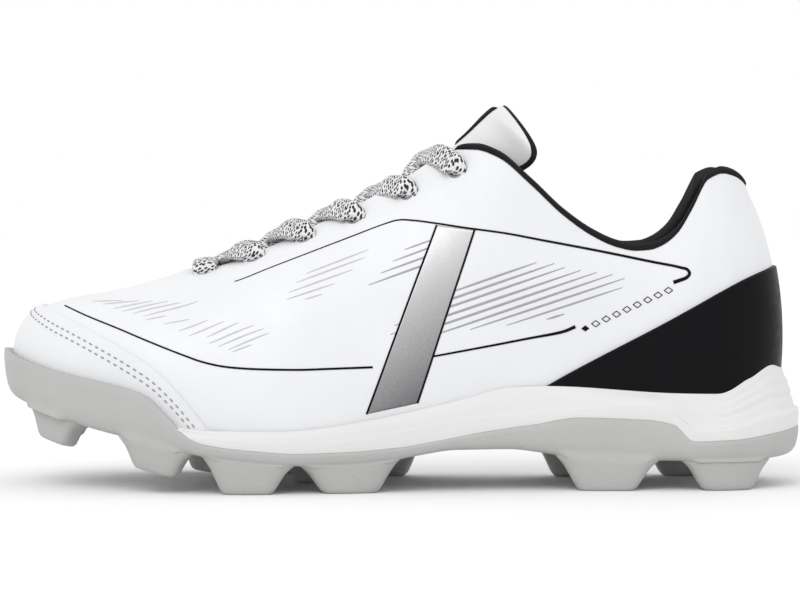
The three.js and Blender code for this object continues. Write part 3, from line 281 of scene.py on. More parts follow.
def smooth(xs: Array, ys: Array) -> Line:
    """Makes a smooth line through points that never overshoots them.

    Each stretch is a cubic whose slope at a point is the harmonic mean of its neighbours' slopes,
    or level where they differ in sign.

    Args:
        xs: rising places.
        ys: the values there.

    Returns:
        A function of an array of places.
    """
    order = np.argsort(xs)
    px, py = np.asarray(xs, float)[order], np.asarray(ys, float)[order]
    slope = np.diff(py) / np.diff(px)
    before, after = slope[:-1], slope[1:]
    level = before * after <= 0
    mean = 2 * before * after / np.where(level, 1, before + after)
    tangent = np.concatenate([slope[:1], np.where(level, 0, mean), slope[-1:]])

    def at(x: Array) -> Array:
        """The line's value at each place.

        Args:
            x: the places.

        Returns:
            The values there.
        """
        x = np.asarray(x, float)
        i = np.clip(np.searchsorted(px, x, side="right") - 1, 0, len(px) - 2)
        span = px[i + 1] - px[i]
        t = np.clip((x - px[i]) / span, 0, 1)
        return cubic(py[i], py[i + 1], span * tangent[i], span * tangent[i + 1], t)

    return at


def line(rows: dict[str, Array], name: str, key: str = "at") -> Line:
    """A smooth line through one column of a table against its key column."""
    return smooth(rows[key], rows[name])


def sole_line(rows: dict[str, Array]) -> Line:
    """The height of one of the sole's lines, from its share of SOLE_HEIGHT above the tread."""
    share = line(rows, "height")
    return lambda at: STUD_HEIGHT + SOLE_HEIGHT * share(at)


def upper_line(rows: dict[str, Array], key: str = "at") -> Line:
    """The height of one of the upper's lines, from its share of UPPER_HEIGHT above the tread."""
    share = line(rows, "height", key)
    return lambda at: STUD_HEIGHT + UPPER_HEIGHT * share(at)


def unit(vectors: Array) -> Array:
    """Vectors of length one along the last axis."""
    return vectors / np.maximum(np.linalg.norm(vectors, axis=-1, keepdims=True), 1e-12)


def mix(a: Array, b: Array, share: Array) -> Array:
    """The value that lies the given share of the way from a to b."""
    return a + (b - a) * share


def flow(stops: Array, count: int) -> Array:
    """Carries a smooth curve through stops.

    A cubic between each two stops, with the slope at a stop from its neighbours and the distances
    to them, read at even steps of that distance.

    Args:
        stops: the points, one a row.
        count: how many points the curve gets.

    Returns:
        The curve's points.
    """
    reach = np.linalg.norm(np.diff(stops[:, :3], axis=0), axis=1)
    knots = np.concatenate([[0], np.cumsum(np.maximum(reach, 1e-6))])
    slope = np.gradient(stops, knots, axis=0)
    at = np.linspace(0, knots[-1], count)
    i = np.clip(np.searchsorted(knots, at, side="right") - 1, 0, len(knots) - 2)
    span = (knots[i + 1] - knots[i])[:, None]
    t = (at - knots[i])[:, None] / span
    return cubic(stops[i], stops[i + 1], span * slope[i], span * slope[i + 1], t)


def refined(stops: Array, count: int) -> Array:
    """Carries smooth curves through stops along the first axis, at even steps of their order.

    Args:
        stops: the stops, with one curve for each place along the second axis.
        count: how many points each curve gets.

    Returns:
        The points.
    """
    place = np.linspace(0, len(stops) - 1, count)
    i = np.clip(place.astype(int), 0, len(stops) - 2)
    t = (place - i)[:, None, None]
    slope = np.gradient(stops, axis=0)
    return cubic(stops[i], stops[i + 1], slope[i], slope[i + 1], t)


def distances(path: Array) -> Array:
    """How far along a path each of its points lies."""
    return np.concatenate([[0], np.cumsum(np.linalg.norm(np.diff(path, axis=0), axis=1))])


def from_ends(count: int) -> Array:
    """How many steps each of so many places is from the nearer end."""
    return np.minimum(np.arange(count), np.arange(count)[::-1])


def lap(count: int) -> Array:
    """Angles at even steps once round."""
    return np.linspace(0, 2 * np.pi, count, endpoint=False)


def oval(count: int, power: float) -> tuple[Array, Array]:
    """A rounded rectangle as a superellipse, whose two shares raised to the power add up to one.

    Args:
        count: how many angles.
        power: the superellipse's exponent.

    Returns:
        The shares along and across.
    """
    c, s = np.cos(lap(count)), np.sin(lap(count))
    reach = (np.abs(c) ** power + np.abs(s) ** power) ** (-1 / power)
    return c * reach, s * reach


tread_at, seam_at, rim_at, floor_at = map(sole_line, (TREAD, SEAM, RIM, FLOOR))
groove_at, groove_depth = sole_line(GROOVE), line(GROOVE, "depth")
step_at = line(STEP, "inset")
ridge_swing = line(RIDGE, "swing")


def along_to_x(at: Array) -> Array:
    """X of a place along the shoe."""
    return LENGTH / 2 - at * LENGTH


def x_to_along(x: Array) -> Array:
    """The place along the shoe at an X."""
    return 0.5 - x / LENGTH


def turn_to_along(turn: Array) -> Array:
    """The place along the shoe of a column's foot."""
    return (1 - np.cos(turn)) / 2


def along_to_turn(at: Array, side: Side) -> Array:
    """The turn of the column whose foot is at a place, on one side."""
    turn = np.arccos(1 - 2 * np.asarray(at, float))
    return turn if side is Side.OUTER else 2 * np.pi - turn


def foot_inset(at: Array) -> Array:
    """How far in from the sole's edge the upper's foot stands."""
    return RIM_STEP * step_at(at)


def _edge_side() -> Line:
    """Y of the sole's edge for each turn, from one closed smooth curve through the outline.

    Returns:
        Y by turn.
    """
    turns = along_to_turn(OUTLINE["at"], Side.OUTER)
    once = np.concatenate([[0], turns, [np.pi], 2 * np.pi - turns[::-1]])
    half = [[0], -OUTLINE["outer"], [TOE_SWING], OUTLINE["inner"][::-1]]
    values = HALF_BALL * np.concatenate(half)
    laps = np.concatenate([once - 2 * np.pi, once, once + 2 * np.pi])
    return smooth(laps, np.tile(values, 3))


edge_side = _edge_side()


def edge(turn: Array, inset: Array = 0.0) -> tuple[Array, Array]:
    """Points a distance in from the sole's edge, with the level direction that points out there.

    Args:
        turn: the turns.
        inset: the distance for each turn.

    Returns:
        The points (x, y) and the unit directions, in arrays with one more axis than turn.
    """
    step = 1e-3

    def on_edge(t: Array) -> Array:
        """The edge's own points."""
        return np.stack([along_to_x(turn_to_along(t)), edge_side(t)], -1)

    ahead = unit(on_edge(turn + step) - on_edge(turn - step))
    out = np.stack([-ahead[..., 1], ahead[..., 0]], -1)
    inset = np.broadcast_to(inset, np.shape(turn))[..., None]
    return on_edge(turn) - out * inset, out


def even_turns(count: int, spread: float = 0.17) -> Array:
    """Turns once round the shoe, spread a little towards heel and toe.

    Args:
        count: how many turns.
        spread: how far they draw towards the ends.

    Returns:
        The turns.
    """
    share = np.arange(count) / (count / 2)
    one_way = np.where(share <= 1, share, 2 - share)
    turn = np.pi * one_way + spread * np.sin(2 * np.pi * one_way)
    return np.where(share <= 1, turn, 2 * np.pi - turn)


def loops(turn: Array, inset: Array, height: Line) -> Array:
    """A loop round the shoe, with the inset by turn and the height by the loop's own place."""
    point, _ = edge(turn, inset)
    return np.concatenate([point, height(x_to_along(point[..., :1]))], -1)


def middle_loop(turn: Array, height: Line) -> Array:
    """A loop folded onto the middle line, which stops short of heel and toe.

    Args:
        turn: the turns.
        height: the height by place.

    Returns:
        The loop's points.
    """
    at = np.clip(turn_to_along(turn), *MIDDLE_ENDS)
    near, far = along_to_turn(at, Side.OUTER), along_to_turn(at, Side.INNER)
    side = (edge_side(near) + edge_side(far)) / 2
    return np.stack([along_to_x(at), side, height(at)], -1)


# The upper's skin

_topline = {name: line(TOPLINE, name) for name in ("along", "apart")}
_topline_height = upper_line(TOPLINE)
_bulge = {name: line(BULGE, name) for name in ("foot", "rise", "reach", "drop")}


def column(turn: Array, t: Array) -> Array:
    """Points of the bare skin: a cubic from the column's foot to its top end.

    Its first handle stands out from the foot and up, and its second lies out from the top end and
    a little down.

    Args:
        turn: the columns.
        t: shares up the columns, of a shape that fits turn's.

    Returns:
        The points.
    """
    at = turn_to_along(turn)
    point, out = edge(turn, foot_inset(at))
    foot = np.concatenate([point, floor_at(at)[..., None] + CLEARANCE], -1)
    along = _topline["along"](at)
    sign = np.where(np.mod(turn, 2 * np.pi) <= np.pi, -1, 1)
    side = HALF_BALL * (ridge_swing(along) + sign * _topline["apart"](at))
    top = np.stack([along_to_x(along), side, _topline_height(at)], -1)
    height = top[..., 2] - foot[..., 2]
    low = foot.copy()
    low[..., :2] += out * (HALF_BALL * _bulge["foot"](at))[..., None]
    low[..., 2] += height * _bulge["rise"](at)
    high = mix(top, foot, _bulge["reach"](at)[..., None])
    high[..., 2] = top[..., 2] - height * _bulge["drop"](at)
    s = np.asarray(t, float)[..., None]
    r = 1 - s
    return foot * r**3 + 3 * low * r * r * s + 3 * high * r * s * s + top * s**3


def skin_normal(turn: Array, t: Array) -> Array:
    """Directions out of the skin, from small steps along and up it.

    Args:
        turn: the columns.
        t: shares up them.

    Returns:
        The directions.
    """
    step = 2e-3
    along = column(turn + step, t) - column(turn - step, t)
    up = column(turn, t + step) - column(turn, t - step)
    return unit(np.cross(up, along))


# Soft troughs and ridges of the upper: a line seen from the side, its width, and its depth, which is
# below nought for a trough
FOLDS = table(
    "x0 z0 x1 z1 width depth",
    (-78, 66, -58, 40, 7, -0.55), (-66, 72, -44, 42, 6, 0.3), (-54, 72, -34, 46, 6, -0.35),
    (8, 92, 26, 62, 14, -0.7), (60, 78, 96, 70, 11, 0.4), (96, 96, 118, 70, 10, -0.5),
    (-20, 40, 40, 44, 9, 0.35),
)  # fmt: skip


def relief(points: Array) -> Array:
    """How far the folds lift the skin: each falls off as a bell with the distance from its line.

    Args:
        points: places on the bare skin.

    Returns:
        The lift at each.
    """
    x, z = points[..., 0, None], points[..., 2, None]
    run = FOLDS["x1"] - FOLDS["x0"], FOLDS["z1"] - FOLDS["z0"]
    length = run[0] ** 2 + run[1] ** 2
    share = np.clip(((x - FOLDS["x0"]) * run[0] + (z - FOLDS["z0"]) * run[1]) / length, 0, 1)
    gap = np.hypot(x - FOLDS["x0"] - share * run[0], z - FOLDS["z0"] - share * run[1])
    return (FOLDS["depth"] * np.exp(-((gap / FOLDS["width"]) ** 2))).sum(-1)


def skin(turn: Array, t: Array, offset: Array = 0.0) -> Array:
    """Points at a distance out from the folded skin.

    Args:
        turn: the columns.
        t: shares up them.
        offset: the distance out.

    Returns:
        The points.
    """
    bare = column(turn, t)
    lift = relief(bare) + offset
    return bare + skin_normal(turn, t) * np.asarray(lift)[..., None]


_DENSE = np.linspace(0, np.pi, 2001)
_DENSE_TOP = _topline["along"](turn_to_along(_DENSE))


def top_turn(along: Array, side: Side) -> Array:
    """The turn of the column whose top end lies at a place along the shoe."""
    turn = np.interp(along, _DENSE_TOP, _DENSE)
    return turn if side is Side.OUTER else 2 * np.pi - turn


def share_under(turn: Array, height: Line) -> Array:
    """The share of each column at which it first climbs over a line seen from the side.

    Args:
        turn: the columns.
        height: the line's height by place.

    Returns:
        The shares.
    """
    t = np.linspace(0, 1, 400)
    points = column(turn[:, None], t[None, :])
    over = points[..., 2] - height(x_to_along(points[..., 0]))
    first = np.clip(np.argmax(over > 0, axis=1), 1, len(t) - 1)
    rows = np.arange(len(turn))
    low, high = over[rows, first - 1], over[rows, first]
    return mix(t[first - 1], t[first], np.clip(-low / (high - low), 0, 1))


# Meshes


@dataclass
class Shell:
    """Points and four-sided faces that grow into one mesh."""

    points: list[Array]
    faces: list[Array]
    maps: list[Array]
    size: int = 0

    @staticmethod
    def empty() -> "Shell":
        """A shell with nothing in it."""
        return Shell([], [], [])

    def add(
        self,
        grid: Array,
        wrap_rows: bool = False,
        wrap_columns: bool = False,
        keep: Array | None = None,
        coordinates: Array | None = None,
    ) -> "Shell":
        """Adds a grid of points as a surface.

        Args:
            grid: points in rows and columns.
            wrap_rows: whether the last row joins the first.
            wrap_columns: whether each row closes on itself.
            keep: which faces stay, or None for all.
            coordinates: two numbers a point for the mesh's own map.

        Returns:
            This shell.
        """
        rows, columns = grid.shape[:2]
        index = np.arange(rows * columns).reshape(rows, columns) + self.size
        index = np.concatenate([index, index[:1]]) if wrap_rows else index
        index = np.concatenate([index, index[:, :1]], 1) if wrap_columns else index
        corners = [index[:-1, :-1], index[:-1, 1:], index[1:, 1:], index[1:, :-1]]
        quads = np.stack(corners, -1)
        quads = quads.reshape(-1, 4) if keep is None else quads[keep]
        self.points.append(grid.reshape(-1, 3))
        self.faces.append(quads)
        flat = np.zeros((rows * columns, 2)) if coordinates is None else coordinates
        self.maps.append(flat.reshape(-1, 2))
        self.size += rows * columns
        return self

    def build(self, name: str, material: Material, weld: float = 1e-6) -> Object:
        """Makes the object: welds its doubles, drops what has no area and faces it outwards.

        Args:
            name: the object's name.
            material: its finish.
            weld: points closer than this many metres become one.

        Returns:
            The object, at the origin.
        """
        mesh = bpy.data.meshes.new(name)
        points = np.concatenate(self.points) * MM
        faces = np.concatenate(self.faces)
        mesh.from_pydata(points.tolist(), [], faces.tolist())
        flat = np.concatenate(self.maps)[faces.reshape(-1)]
        mesh.uv_layers.new(name="Surface").data.foreach_set("uv", flat.astype(np.float32).ravel())
        work = bmesh.new()
        work.from_mesh(mesh)
        bmesh.ops.remove_doubles(work, verts=work.verts, dist=weld)
        bmesh.ops.dissolve_degenerate(work, edges=work.edges, dist=weld)
        bmesh.ops.recalc_face_normals(work, faces=work.faces)
        work.to_mesh(mesh)
        work.free()
        mesh.shade_smooth()
        mesh.materials.append(material)
        made = bpy.data.objects.new(name, mesh)
        bpy.context.scene.collection.objects.link(made)
        return made


def dress(piece: Object, slot: str, *nodes: str) -> Object:
    """Lets a piece ride on the shoe and stand for solids.

    Args:
        piece: the piece.
        slot: its finish's slot; not used.
        nodes: the solids that it stands for.

    Returns:
        The piece.
    """
    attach(piece, BODY)
    if nodes:
        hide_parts(*nodes)
    LOG.info("%s: %d faces", piece.name, len(piece.data.polygons))
    return piece


def sweep(path: Array, facing: Array, wide: Array, thick: Array, power: float, around: int) -> Array:
    """Carries a superellipse along a path, square to it.

    Args:
        path: the centre's points.
        facing: the direction that the flat side faces, for each point.
        wide: half the width at each point.
        thick: half the thickness at each point.
        power: the superellipse's exponent.
        around: points round the section.

    Returns:
        A grid with one row a point of the path.
    """
    ahead = unit(np.gradient(path, axis=0))
    across = unit(np.cross(ahead, facing))
    up = np.cross(across, ahead)
    u, v = oval(around, power)
    side = u[None, :, None] * np.reshape(wide, (-1, 1, 1)) * across[:, None]
    rise = v[None, :, None] * np.reshape(thick, (-1, 1, 1)) * up[:, None]
    return path[:, None] + side + rise


STITCH_STEPS = 7
STITCH_AROUND = 6


def stitches(path: Array, out: Array, length: float, gap: float, radius: float) -> Shell:
    """Sews small rounded stitches along a path, half sunk.

    Each stitch is a spindle: its radius follows a half sine along its length.

    Args:
        path: points that the seam follows.
        out: the direction out of the surface there.
        length: a stitch's length.
        gap: from one stitch to the next.
        radius: a stitch's radius.

    Returns:
        The stitches.
    """
    run = distances(path)
    starts = np.arange(gap / 2, run[-1] - length, length + gap)
    shell = Shell.empty()
    share = np.linspace(0, 1, STITCH_STEPS)
    at = starts[:, None] + share * length
    centre = np.stack([np.interp(at, run, path[:, k]) for k in range(3)], -1)
    up = unit(np.stack([np.interp(at, run, out[:, k]) for k in range(3)], -1))
    ahead = unit(centre[:, -1:] - centre[:, :1])
    across = unit(np.cross(ahead, up))
    angle = lap(STITCH_AROUND)
    swell = radius * np.sin(np.pi * np.clip(share, 0.02, 0.98)) ** 0.5
    ring = across[:, :, None] * np.cos(angle)[:, None] + up[:, :, None] * np.sin(angle)[:, None]
    grid = centre[:, :, None] + ring * swell[:, None, None]
    grid[:, [0, -1]] = centre[:, [0, -1], None]
    for one in grid:
        shell.add(one, wrap_columns=True)
    return shell


# Photograph


@dataclass(frozen=True)
class Viewpoint:
    """Where the photograph was taken from, with its sizes in pixels and the shoe's in millimetres."""

    distance: float = 1100.0
    height: float = 105.0
    focal_pixels: float = 3002.45
    centre_x: float = 399.5
    centre_y: float = 299.5
    horizon_y: float = 195.7
    image_width: float = 800.0
    near_side: float = 42.0
    rounds: int = 24
    stride: float = 0.1
    slope_step: float = 1e-4
    least_area: float = 1e-6
    end_turn: float = 0.02
    first_limits: tuple[float, float] = (0.02, 0.98)
    share_limits: tuple[float, float] = (0.002, 0.998)

    def pixels(self, points: Array, side: Side) -> Array:
        """Where points show, seen from the outer side or from the same place on the inner side.

        Args:
            points: places in the shoe's frame.
            side: the side that is seen.

        Returns:
            Across and down.
        """
        scale = self.focal_pixels / (self.distance - side.value * points[..., 1])
        across = self.centre_x + points[..., 0] * scale
        down = self.horizon_y + (self.height - points[..., 2]) * scale
        return np.stack([across, down], -1)

    def on_skin(self, seen: Array, side: Side) -> tuple[Array, Array]:
        """Finds the places on the skin that show at pixels.

        Starts below each pixel's own column and closes in by Newton's steps, with slopes from small
        steps of turn and share.

        Args:
            seen: the pixels.
            side: which side of the shoe.

        Returns:
            The turns and the shares up the columns.
        """
        scale = self.focal_pixels / (self.distance - self.near_side)
        x = (seen[..., 0] - self.centre_x) / scale
        z = self.height - (seen[..., 1] - self.horizon_y) / scale
        turn = along_to_turn(np.clip(x_to_along(x), *self.first_limits), side)
        foot, top = column(turn, np.zeros_like(turn)), column(turn, np.ones_like(turn))
        t = np.clip((z - foot[..., 2]) / (top[..., 2] - foot[..., 2]), *self.first_limits)
        step = self.slope_step
        first = 0.0 if side is Side.OUTER else np.pi
        for _ in range(self.rounds):
            here = self.pixels(column(turn, t), side)
            by_turn = (self.pixels(column(turn + step, t), side) - here) / step
            by_t = (self.pixels(column(turn, t + step), side) - here) / step
            miss = seen - here
            area = by_turn[..., 0] * by_t[..., 1] - by_turn[..., 1] * by_t[..., 0]
            area = np.where(np.abs(area) < self.least_area, self.least_area, area)
            d_turn = (miss[..., 0] * by_t[..., 1] - miss[..., 1] * by_t[..., 0]) / area
            d_t = (miss[..., 1] * by_turn[..., 0] - miss[..., 0] * by_turn[..., 1]) / area
            d_turn, d_t = np.clip(d_turn, -self.stride, self.stride), np.clip(d_t, -self.stride, self.stride)
            turn = np.clip(turn + d_turn, first + self.end_turn, first + np.pi - self.end_turn)
            t = np.clip(t + d_t, *self.share_limits)
        return turn, t


VIEW = Viewpoint()


# Finishes


class Weave:
    """The nodes of one material, with short calls for the textures that this shoe needs."""

    spread = (0.3, 0.7)

    def __init__(self, name: str, colour: Colour, roughness: float) -> None:
        """Starts a material from its colour and roughness.

        Args:
            name: the material's name.
            colour: its colour.
            roughness: its roughness.
        """
        self.material = bpy.data.materials.new(name)
        self.material.use_nodes = True
        self.tree = self.material.node_tree
        self.shader = self.tree.nodes["Principled BSDF"]
        self.shader.inputs["Base Color"].default_value = (*colour, 1)
        self.shader.inputs["Roughness"].default_value = roughness
        self.place = self.tree.nodes.new("ShaderNodeTexCoord").outputs["Object"]
        self.surface = self.tree.nodes.new("ShaderNodeUVMap")
        self.surface.uv_map = "Surface"
        self.relief: Socket | None = None

    def put(self, name: str, value: object) -> "Weave":
        """Sets one of the shader's own sockets, or joins a node's output to it.

        Args:
            name: the socket's name.
            value: a value, or a node's output.

        Returns:
            This weave.
        """
        socket = self.shader.inputs[name]
        if isinstance(value, Socket):
            self.tree.links.new(value, socket)
        else:
            socket.default_value = value
        return self

    def node(self, kind: str, joins: dict[str, object], **settings: object) -> bpy.types.Node:
        """Adds a node, sets what it is told and joins or fills its inputs by name.

        Args:
            kind: the node's type.
            joins: what goes into its inputs, by name or number.
            settings: the node's own settings.

        Returns:
            The node.
        """
        made = self.tree.nodes.new(kind)
        for name, value in settings.items():
            setattr(made, name, value)
        for name, value in joins.items():
            socket = made.inputs[int(name) if name.isdigit() else name]
            if isinstance(value, Socket):
                self.tree.links.new(value, socket)
            else:
                socket.default_value = value
        return made

    def noise(self, scale: float, detail: float) -> Socket:
        """Cloudy noise with so many waves a metre."""
        joins = {"Vector": self.place, "Scale": scale, "Detail": detail}
        return self.node("ShaderNodeTexNoise", joins).outputs["Fac"]

    def cells(self, scale: float, feature: str = "F1") -> Socket:
        """Distance within cells, so many a metre."""
        joins = {"Vector": self.place, "Scale": scale}
        return self.node("ShaderNodeTexVoronoi", joins, feature=feature).outputs["Distance"]

    def calc(self, operation: str, a: object, b: object = 0.0) -> Socket:
        """One sum on two values."""
        return self.node("ShaderNodeMath", {"0": a, "1": b}, operation=operation).outputs[0]

    def between(self, value: object, low: float, high: float, a: float, b: float) -> Socket:
        """Spreads a value from low..high to a..b, held at the ends."""
        joins = {"Value": value, "From Min": low, "From Max": high, "To Min": a, "To Max": b}
        return self.node("ShaderNodeMapRange", joins).outputs[0]

    def blend(self, share: object, a: object, b: object) -> Socket:
        """Mixes two colours.

        Args:
            share: how much of b.
            a: a colour.
            b: a colour.

        Returns:
            The mix.
        """
        made = self.node("ShaderNodeMix", {"0": share}, data_type="RGBA")
        for socket, value in zip((made.inputs[6], made.inputs[7]), (a, b)):
            if isinstance(value, Socket):
                self.tree.links.new(value, socket)
            else:
                socket.default_value = (*value, 1)
        return made.outputs[2]

    def clouded(self, colour: Colour, share: float, scale: float, detail: float) -> "Weave":
        """Lets the colour drift in soft clouds to a share of its brightness."""
        cloud = self.between(self.noise(scale, detail), *self.spread, 0, 1)
        return self.put("Base Color", self.blend(cloud, tuple(c * share for c in colour), colour))

    def worn(self, scale: float, detail: float, low: float, high: float) -> "Weave":
        """Lets the roughness drift between two values."""
        return self.put("Roughness", self.between(self.noise(scale, detail), *self.spread, low, high))

    def bump(self, height: object, depth: float, strength: float) -> "Weave":
        """Adds relief of so many millimetres on top of what is there.

        Args:
            height: the relief.
            depth: its depth.
            strength: its strength.

        Returns:
            This weave.
        """
        joins = {"Height": height, "Distance": depth * MM, "Strength": strength}
        if self.relief is not None:
            joins["Normal"] = self.relief
        self.relief = self.node("ShaderNodeBump", joins).outputs[0]
        return self.put("Normal", self.relief)


@dataclass(frozen=True)
class CoatedLeather:
    """White synthetic leather with a fine pore and a soft gloss."""

    name: str = "coated_leather"
    colour: Colour = (0.755, 0.76, 0.78)
    pores: float = 1500.0
    roughness: float = 0.42

    def make(self) -> Material:
        """The material: pores as cells, with broad soft mottling of its gloss and shade.

        Returns:
            The material.
        """
        w = Weave(self.name, self.colour, self.roughness)
        w.clouded(self.colour, 0.965, 38, 3)
        w.worn(420, 4, self.roughness - 0.06, self.roughness + 0.08)
        w.put("Coat Weight", 0.12)
        w.put("Coat Roughness", 0.3)
        w.put("Specular IOR Level", 0.45)
        w.bump(w.cells(self.pores, feature="SMOOTH_F1"), 0.05, 0.35)
        w.bump(w.noise(4200, 3), 0.02, 0.3)
        w.bump(w.noise(75, 2), 0.35, 0.22)
        return w.material


@dataclass(frozen=True)
class HeelFilm:
    """Black satin film welded round the heel."""

    name: str = "heel_film"
    colour: Colour = (0.005, 0.005, 0.006)

    def make(self) -> Material:
        """The material: a fine pebble under a soft coat.

        Returns:
            The material.
        """
        w = Weave(self.name, self.colour, 0.4)
        w.worn(300, 3, 0.34, 0.46)
        w.put("Specular IOR Level", 0.07)
        w.bump(w.cells(2200), 0.03, 0.3)
        return w.material


@dataclass(frozen=True)
class PaddedKnit:
    """Black knit over foam, for the collar and the bindings."""

    name: str = "padded_knit"
    colour: Colour = (0.009, 0.009, 0.01)
    stitches: float = 900.0
    lighter: float = 2.6

    def make(self) -> Material:
        """The material: crossed waves as the knit's loops, with fuzz as sheen.

        Returns:
            The material.
        """
        w = Weave(self.name, self.colour, 0.85)
        bands = {"Vector": w.place, "Scale": self.stitches, "Distortion": 1.2, "Detail": 1.0}
        rows = w.node("ShaderNodeTexWave", bands, bands_direction="X").outputs["Fac"]
        ribs = w.node("ShaderNodeTexWave", bands, bands_direction="Z").outputs["Fac"]
        knit = w.calc("MULTIPLY", rows, ribs)
        w.put("Base Color", w.blend(knit, self.colour, tuple(c * self.lighter for c in self.colour)))
        w.put("Sheen Weight", 0.04)
        w.put("Specular IOR Level", 0.12)
        w.bump(knit, 0.12, 0.6)
        w.bump(w.noise(2500, 3), 0.05, 0.3)
        return w.material


@dataclass(frozen=True)
class SoleFoam:
    """White moulded foam with a matt skin."""

    name: str = "sole_foam"
    colour: Colour = (0.71, 0.71, 0.705)

    def make(self) -> Material:
        """The material: tiny cells, and a faint cloud where the mould was warmer.

        Returns:
            The material.
        """
        w = Weave(self.name, self.colour, 0.55)
        w.clouded(self.colour, 0.95, 22, 3)
        w.worn(260, 3, 0.48, 0.62)
        w.put("Subsurface Weight", 0.05)
        w.put("Subsurface Radius", (0.004, 0.004, 0.004))
        w.bump(w.cells(1800), 0.03, 0.35)
        w.bump(w.noise(120, 2), 0.12, 0.2)
        return w.material


@dataclass(frozen=True)
class StudRubber:
    """Grey moulded rubber, finely pebbled between two places along X, in metres."""

    name: str = "stud_rubber"
    colour: Colour = (0.465, 0.465, 0.46)
    pebbles: float = 1250.0
    start: float = -1.0
    end: float = 1.0
    fade: float = 0.006

    def make(self) -> Material:
        """The material: pebbles from start to end, fading in and out, and smooth skin elsewhere.

        Returns:
            The material.
        """
        w = Weave(self.name, self.colour, 0.62)
        x = w.node("ShaderNodeSeparateXYZ", {"Vector": w.place}).outputs[0]
        rising = w.between(x, self.start - self.fade, self.start, 0, 1)
        falling = w.between(x, self.end, self.end + self.fade, 1, 0)
        patch = w.calc("MULTIPLY", rising, falling)
        pebble = w.cells(self.pebbles, feature="SMOOTH_F1")
        w.bump(w.calc("MULTIPLY", pebble, patch), 0.2, 0.7)
        w.bump(w.noise(3000, 2), 0.03, 0.3)
        w.clouded(self.colour, 0.92, 30, 4)
        w.worn(500, 2, 0.55, 0.72)
        w.put("Specular IOR Level", 0.4)
        return w.material


@dataclass(frozen=True)
class LaceBraid:
    """White flat braid with black flecks, on the cord's own map in millimetres."""

    name: str = "lace_braid"
    colour: Colour = (0.78, 0.78, 0.78)
    fleck: Colour = (0.012, 0.012, 0.012)
    plait: float = 1.15
    slant: float = 0.8
    fleck_rows: tuple[float, float] = (1.0, 0.62)
    fleck_strays: float = 0.6
    fleck_edge: tuple[float, float] = (0.32, 0.37)

    def make(self) -> Material:
        """The material: two sets of slanted plaits, some of them black for a short run.

        Returns:
            The material.
        """
        w = Weave(self.name, self.colour, 0.85)
        parts = w.node("ShaderNodeSeparateXYZ", {"Vector": w.surface.outputs[0]}).outputs
        rising = w.calc("ADD", parts[0], w.calc("MULTIPLY", parts[1], self.slant))
        falling = w.calc("SUBTRACT", parts[0], w.calc("MULTIPLY", parts[1], self.slant))
        turn = 2 * math.pi / self.plait
        one = w.calc("SINE", w.calc("MULTIPLY", rising, turn))
        two = w.calc("SINE", w.calc("MULTIPLY", falling, turn))
        plaits = w.calc("MAXIMUM", one, two)
        rows = [w.calc("MULTIPLY", way, count) for way, count in zip((rising, falling), self.fleck_rows)]
        place = w.node("ShaderNodeCombineXYZ", {"0": rows[0], "1": rows[1]}).outputs[0]
        joins = {"Vector": place, "Scale": 1.0, "Randomness": self.fleck_strays}
        flecks = w.node("ShaderNodeTexVoronoi", joins, voronoi_dimensions="2D").outputs["Distance"]
        black = w.between(flecks, *self.fleck_edge, 1, 0)
        w.put("Base Color", w.blend(black, self.colour, self.fleck))
        w.put("Sheen Weight", 0.2)
        w.bump(plaits, 0.22, 0.8)
        return w.material


@dataclass(frozen=True)
class SilverPrint:
    """Brushed silver film that darkens towards the sole and its back edge."""

    name: str = "silver_print"
    light: Colour = (0.62, 0.62, 0.63)
    dark: Colour = (0.13, 0.13, 0.135)
    by_height: float = 22.0
    by_length: float = -16.0
    by_grain: float = 0.3
    dark_to_light: tuple[float, float] = (0.75, 1.9)

    def make(self) -> Material:
        """The material: a slope of height and length mixes light silver into dark.

        Returns:
            The material.
        """
        w = Weave(self.name, self.light, 0.34)
        parts = w.node("ShaderNodeSeparateXYZ", {"Vector": w.place}).outputs
        height = w.calc("MULTIPLY", parts[2], self.by_height)
        slope = w.calc("ADD", height, w.calc("MULTIPLY", parts[0], self.by_length))
        grain = w.calc("MULTIPLY", w.noise(1500, 3), self.by_grain)
        share = w.between(w.calc("ADD", slope, grain), *self.dark_to_light, 0, 1)
        w.put("Base Color", w.blend(share, self.dark, self.light))
        w.put("Metallic", 0.35)
        w.put("Coat Weight", 0.2)
        w.bump(w.noise(2400, 3), 0.02, 0.4)
        return w.material


@dataclass(frozen=True)
class PlainPrint:
    """A thin flat print or thread of one colour."""

    name: str
    colour: Colour
    roughness: float = 0.5
    grain: float = 2600.0
    depth: float = 0.02
    shine: float = 0.4
    mottle: float = 0.1

    def make(self) -> Material:
        """The material: one colour with a faint grain.

        Returns:
            The material.
        """
        w = Weave(self.name, self.colour, self.roughness)
        w.clouded(self.colour, 1 - self.mottle, self.grain / 3, 2)
        w.put("Specular IOR Level", self.shine)
        w.bump(w.noise(self.grain, 3), self.depth, 0.4)
        return w.material


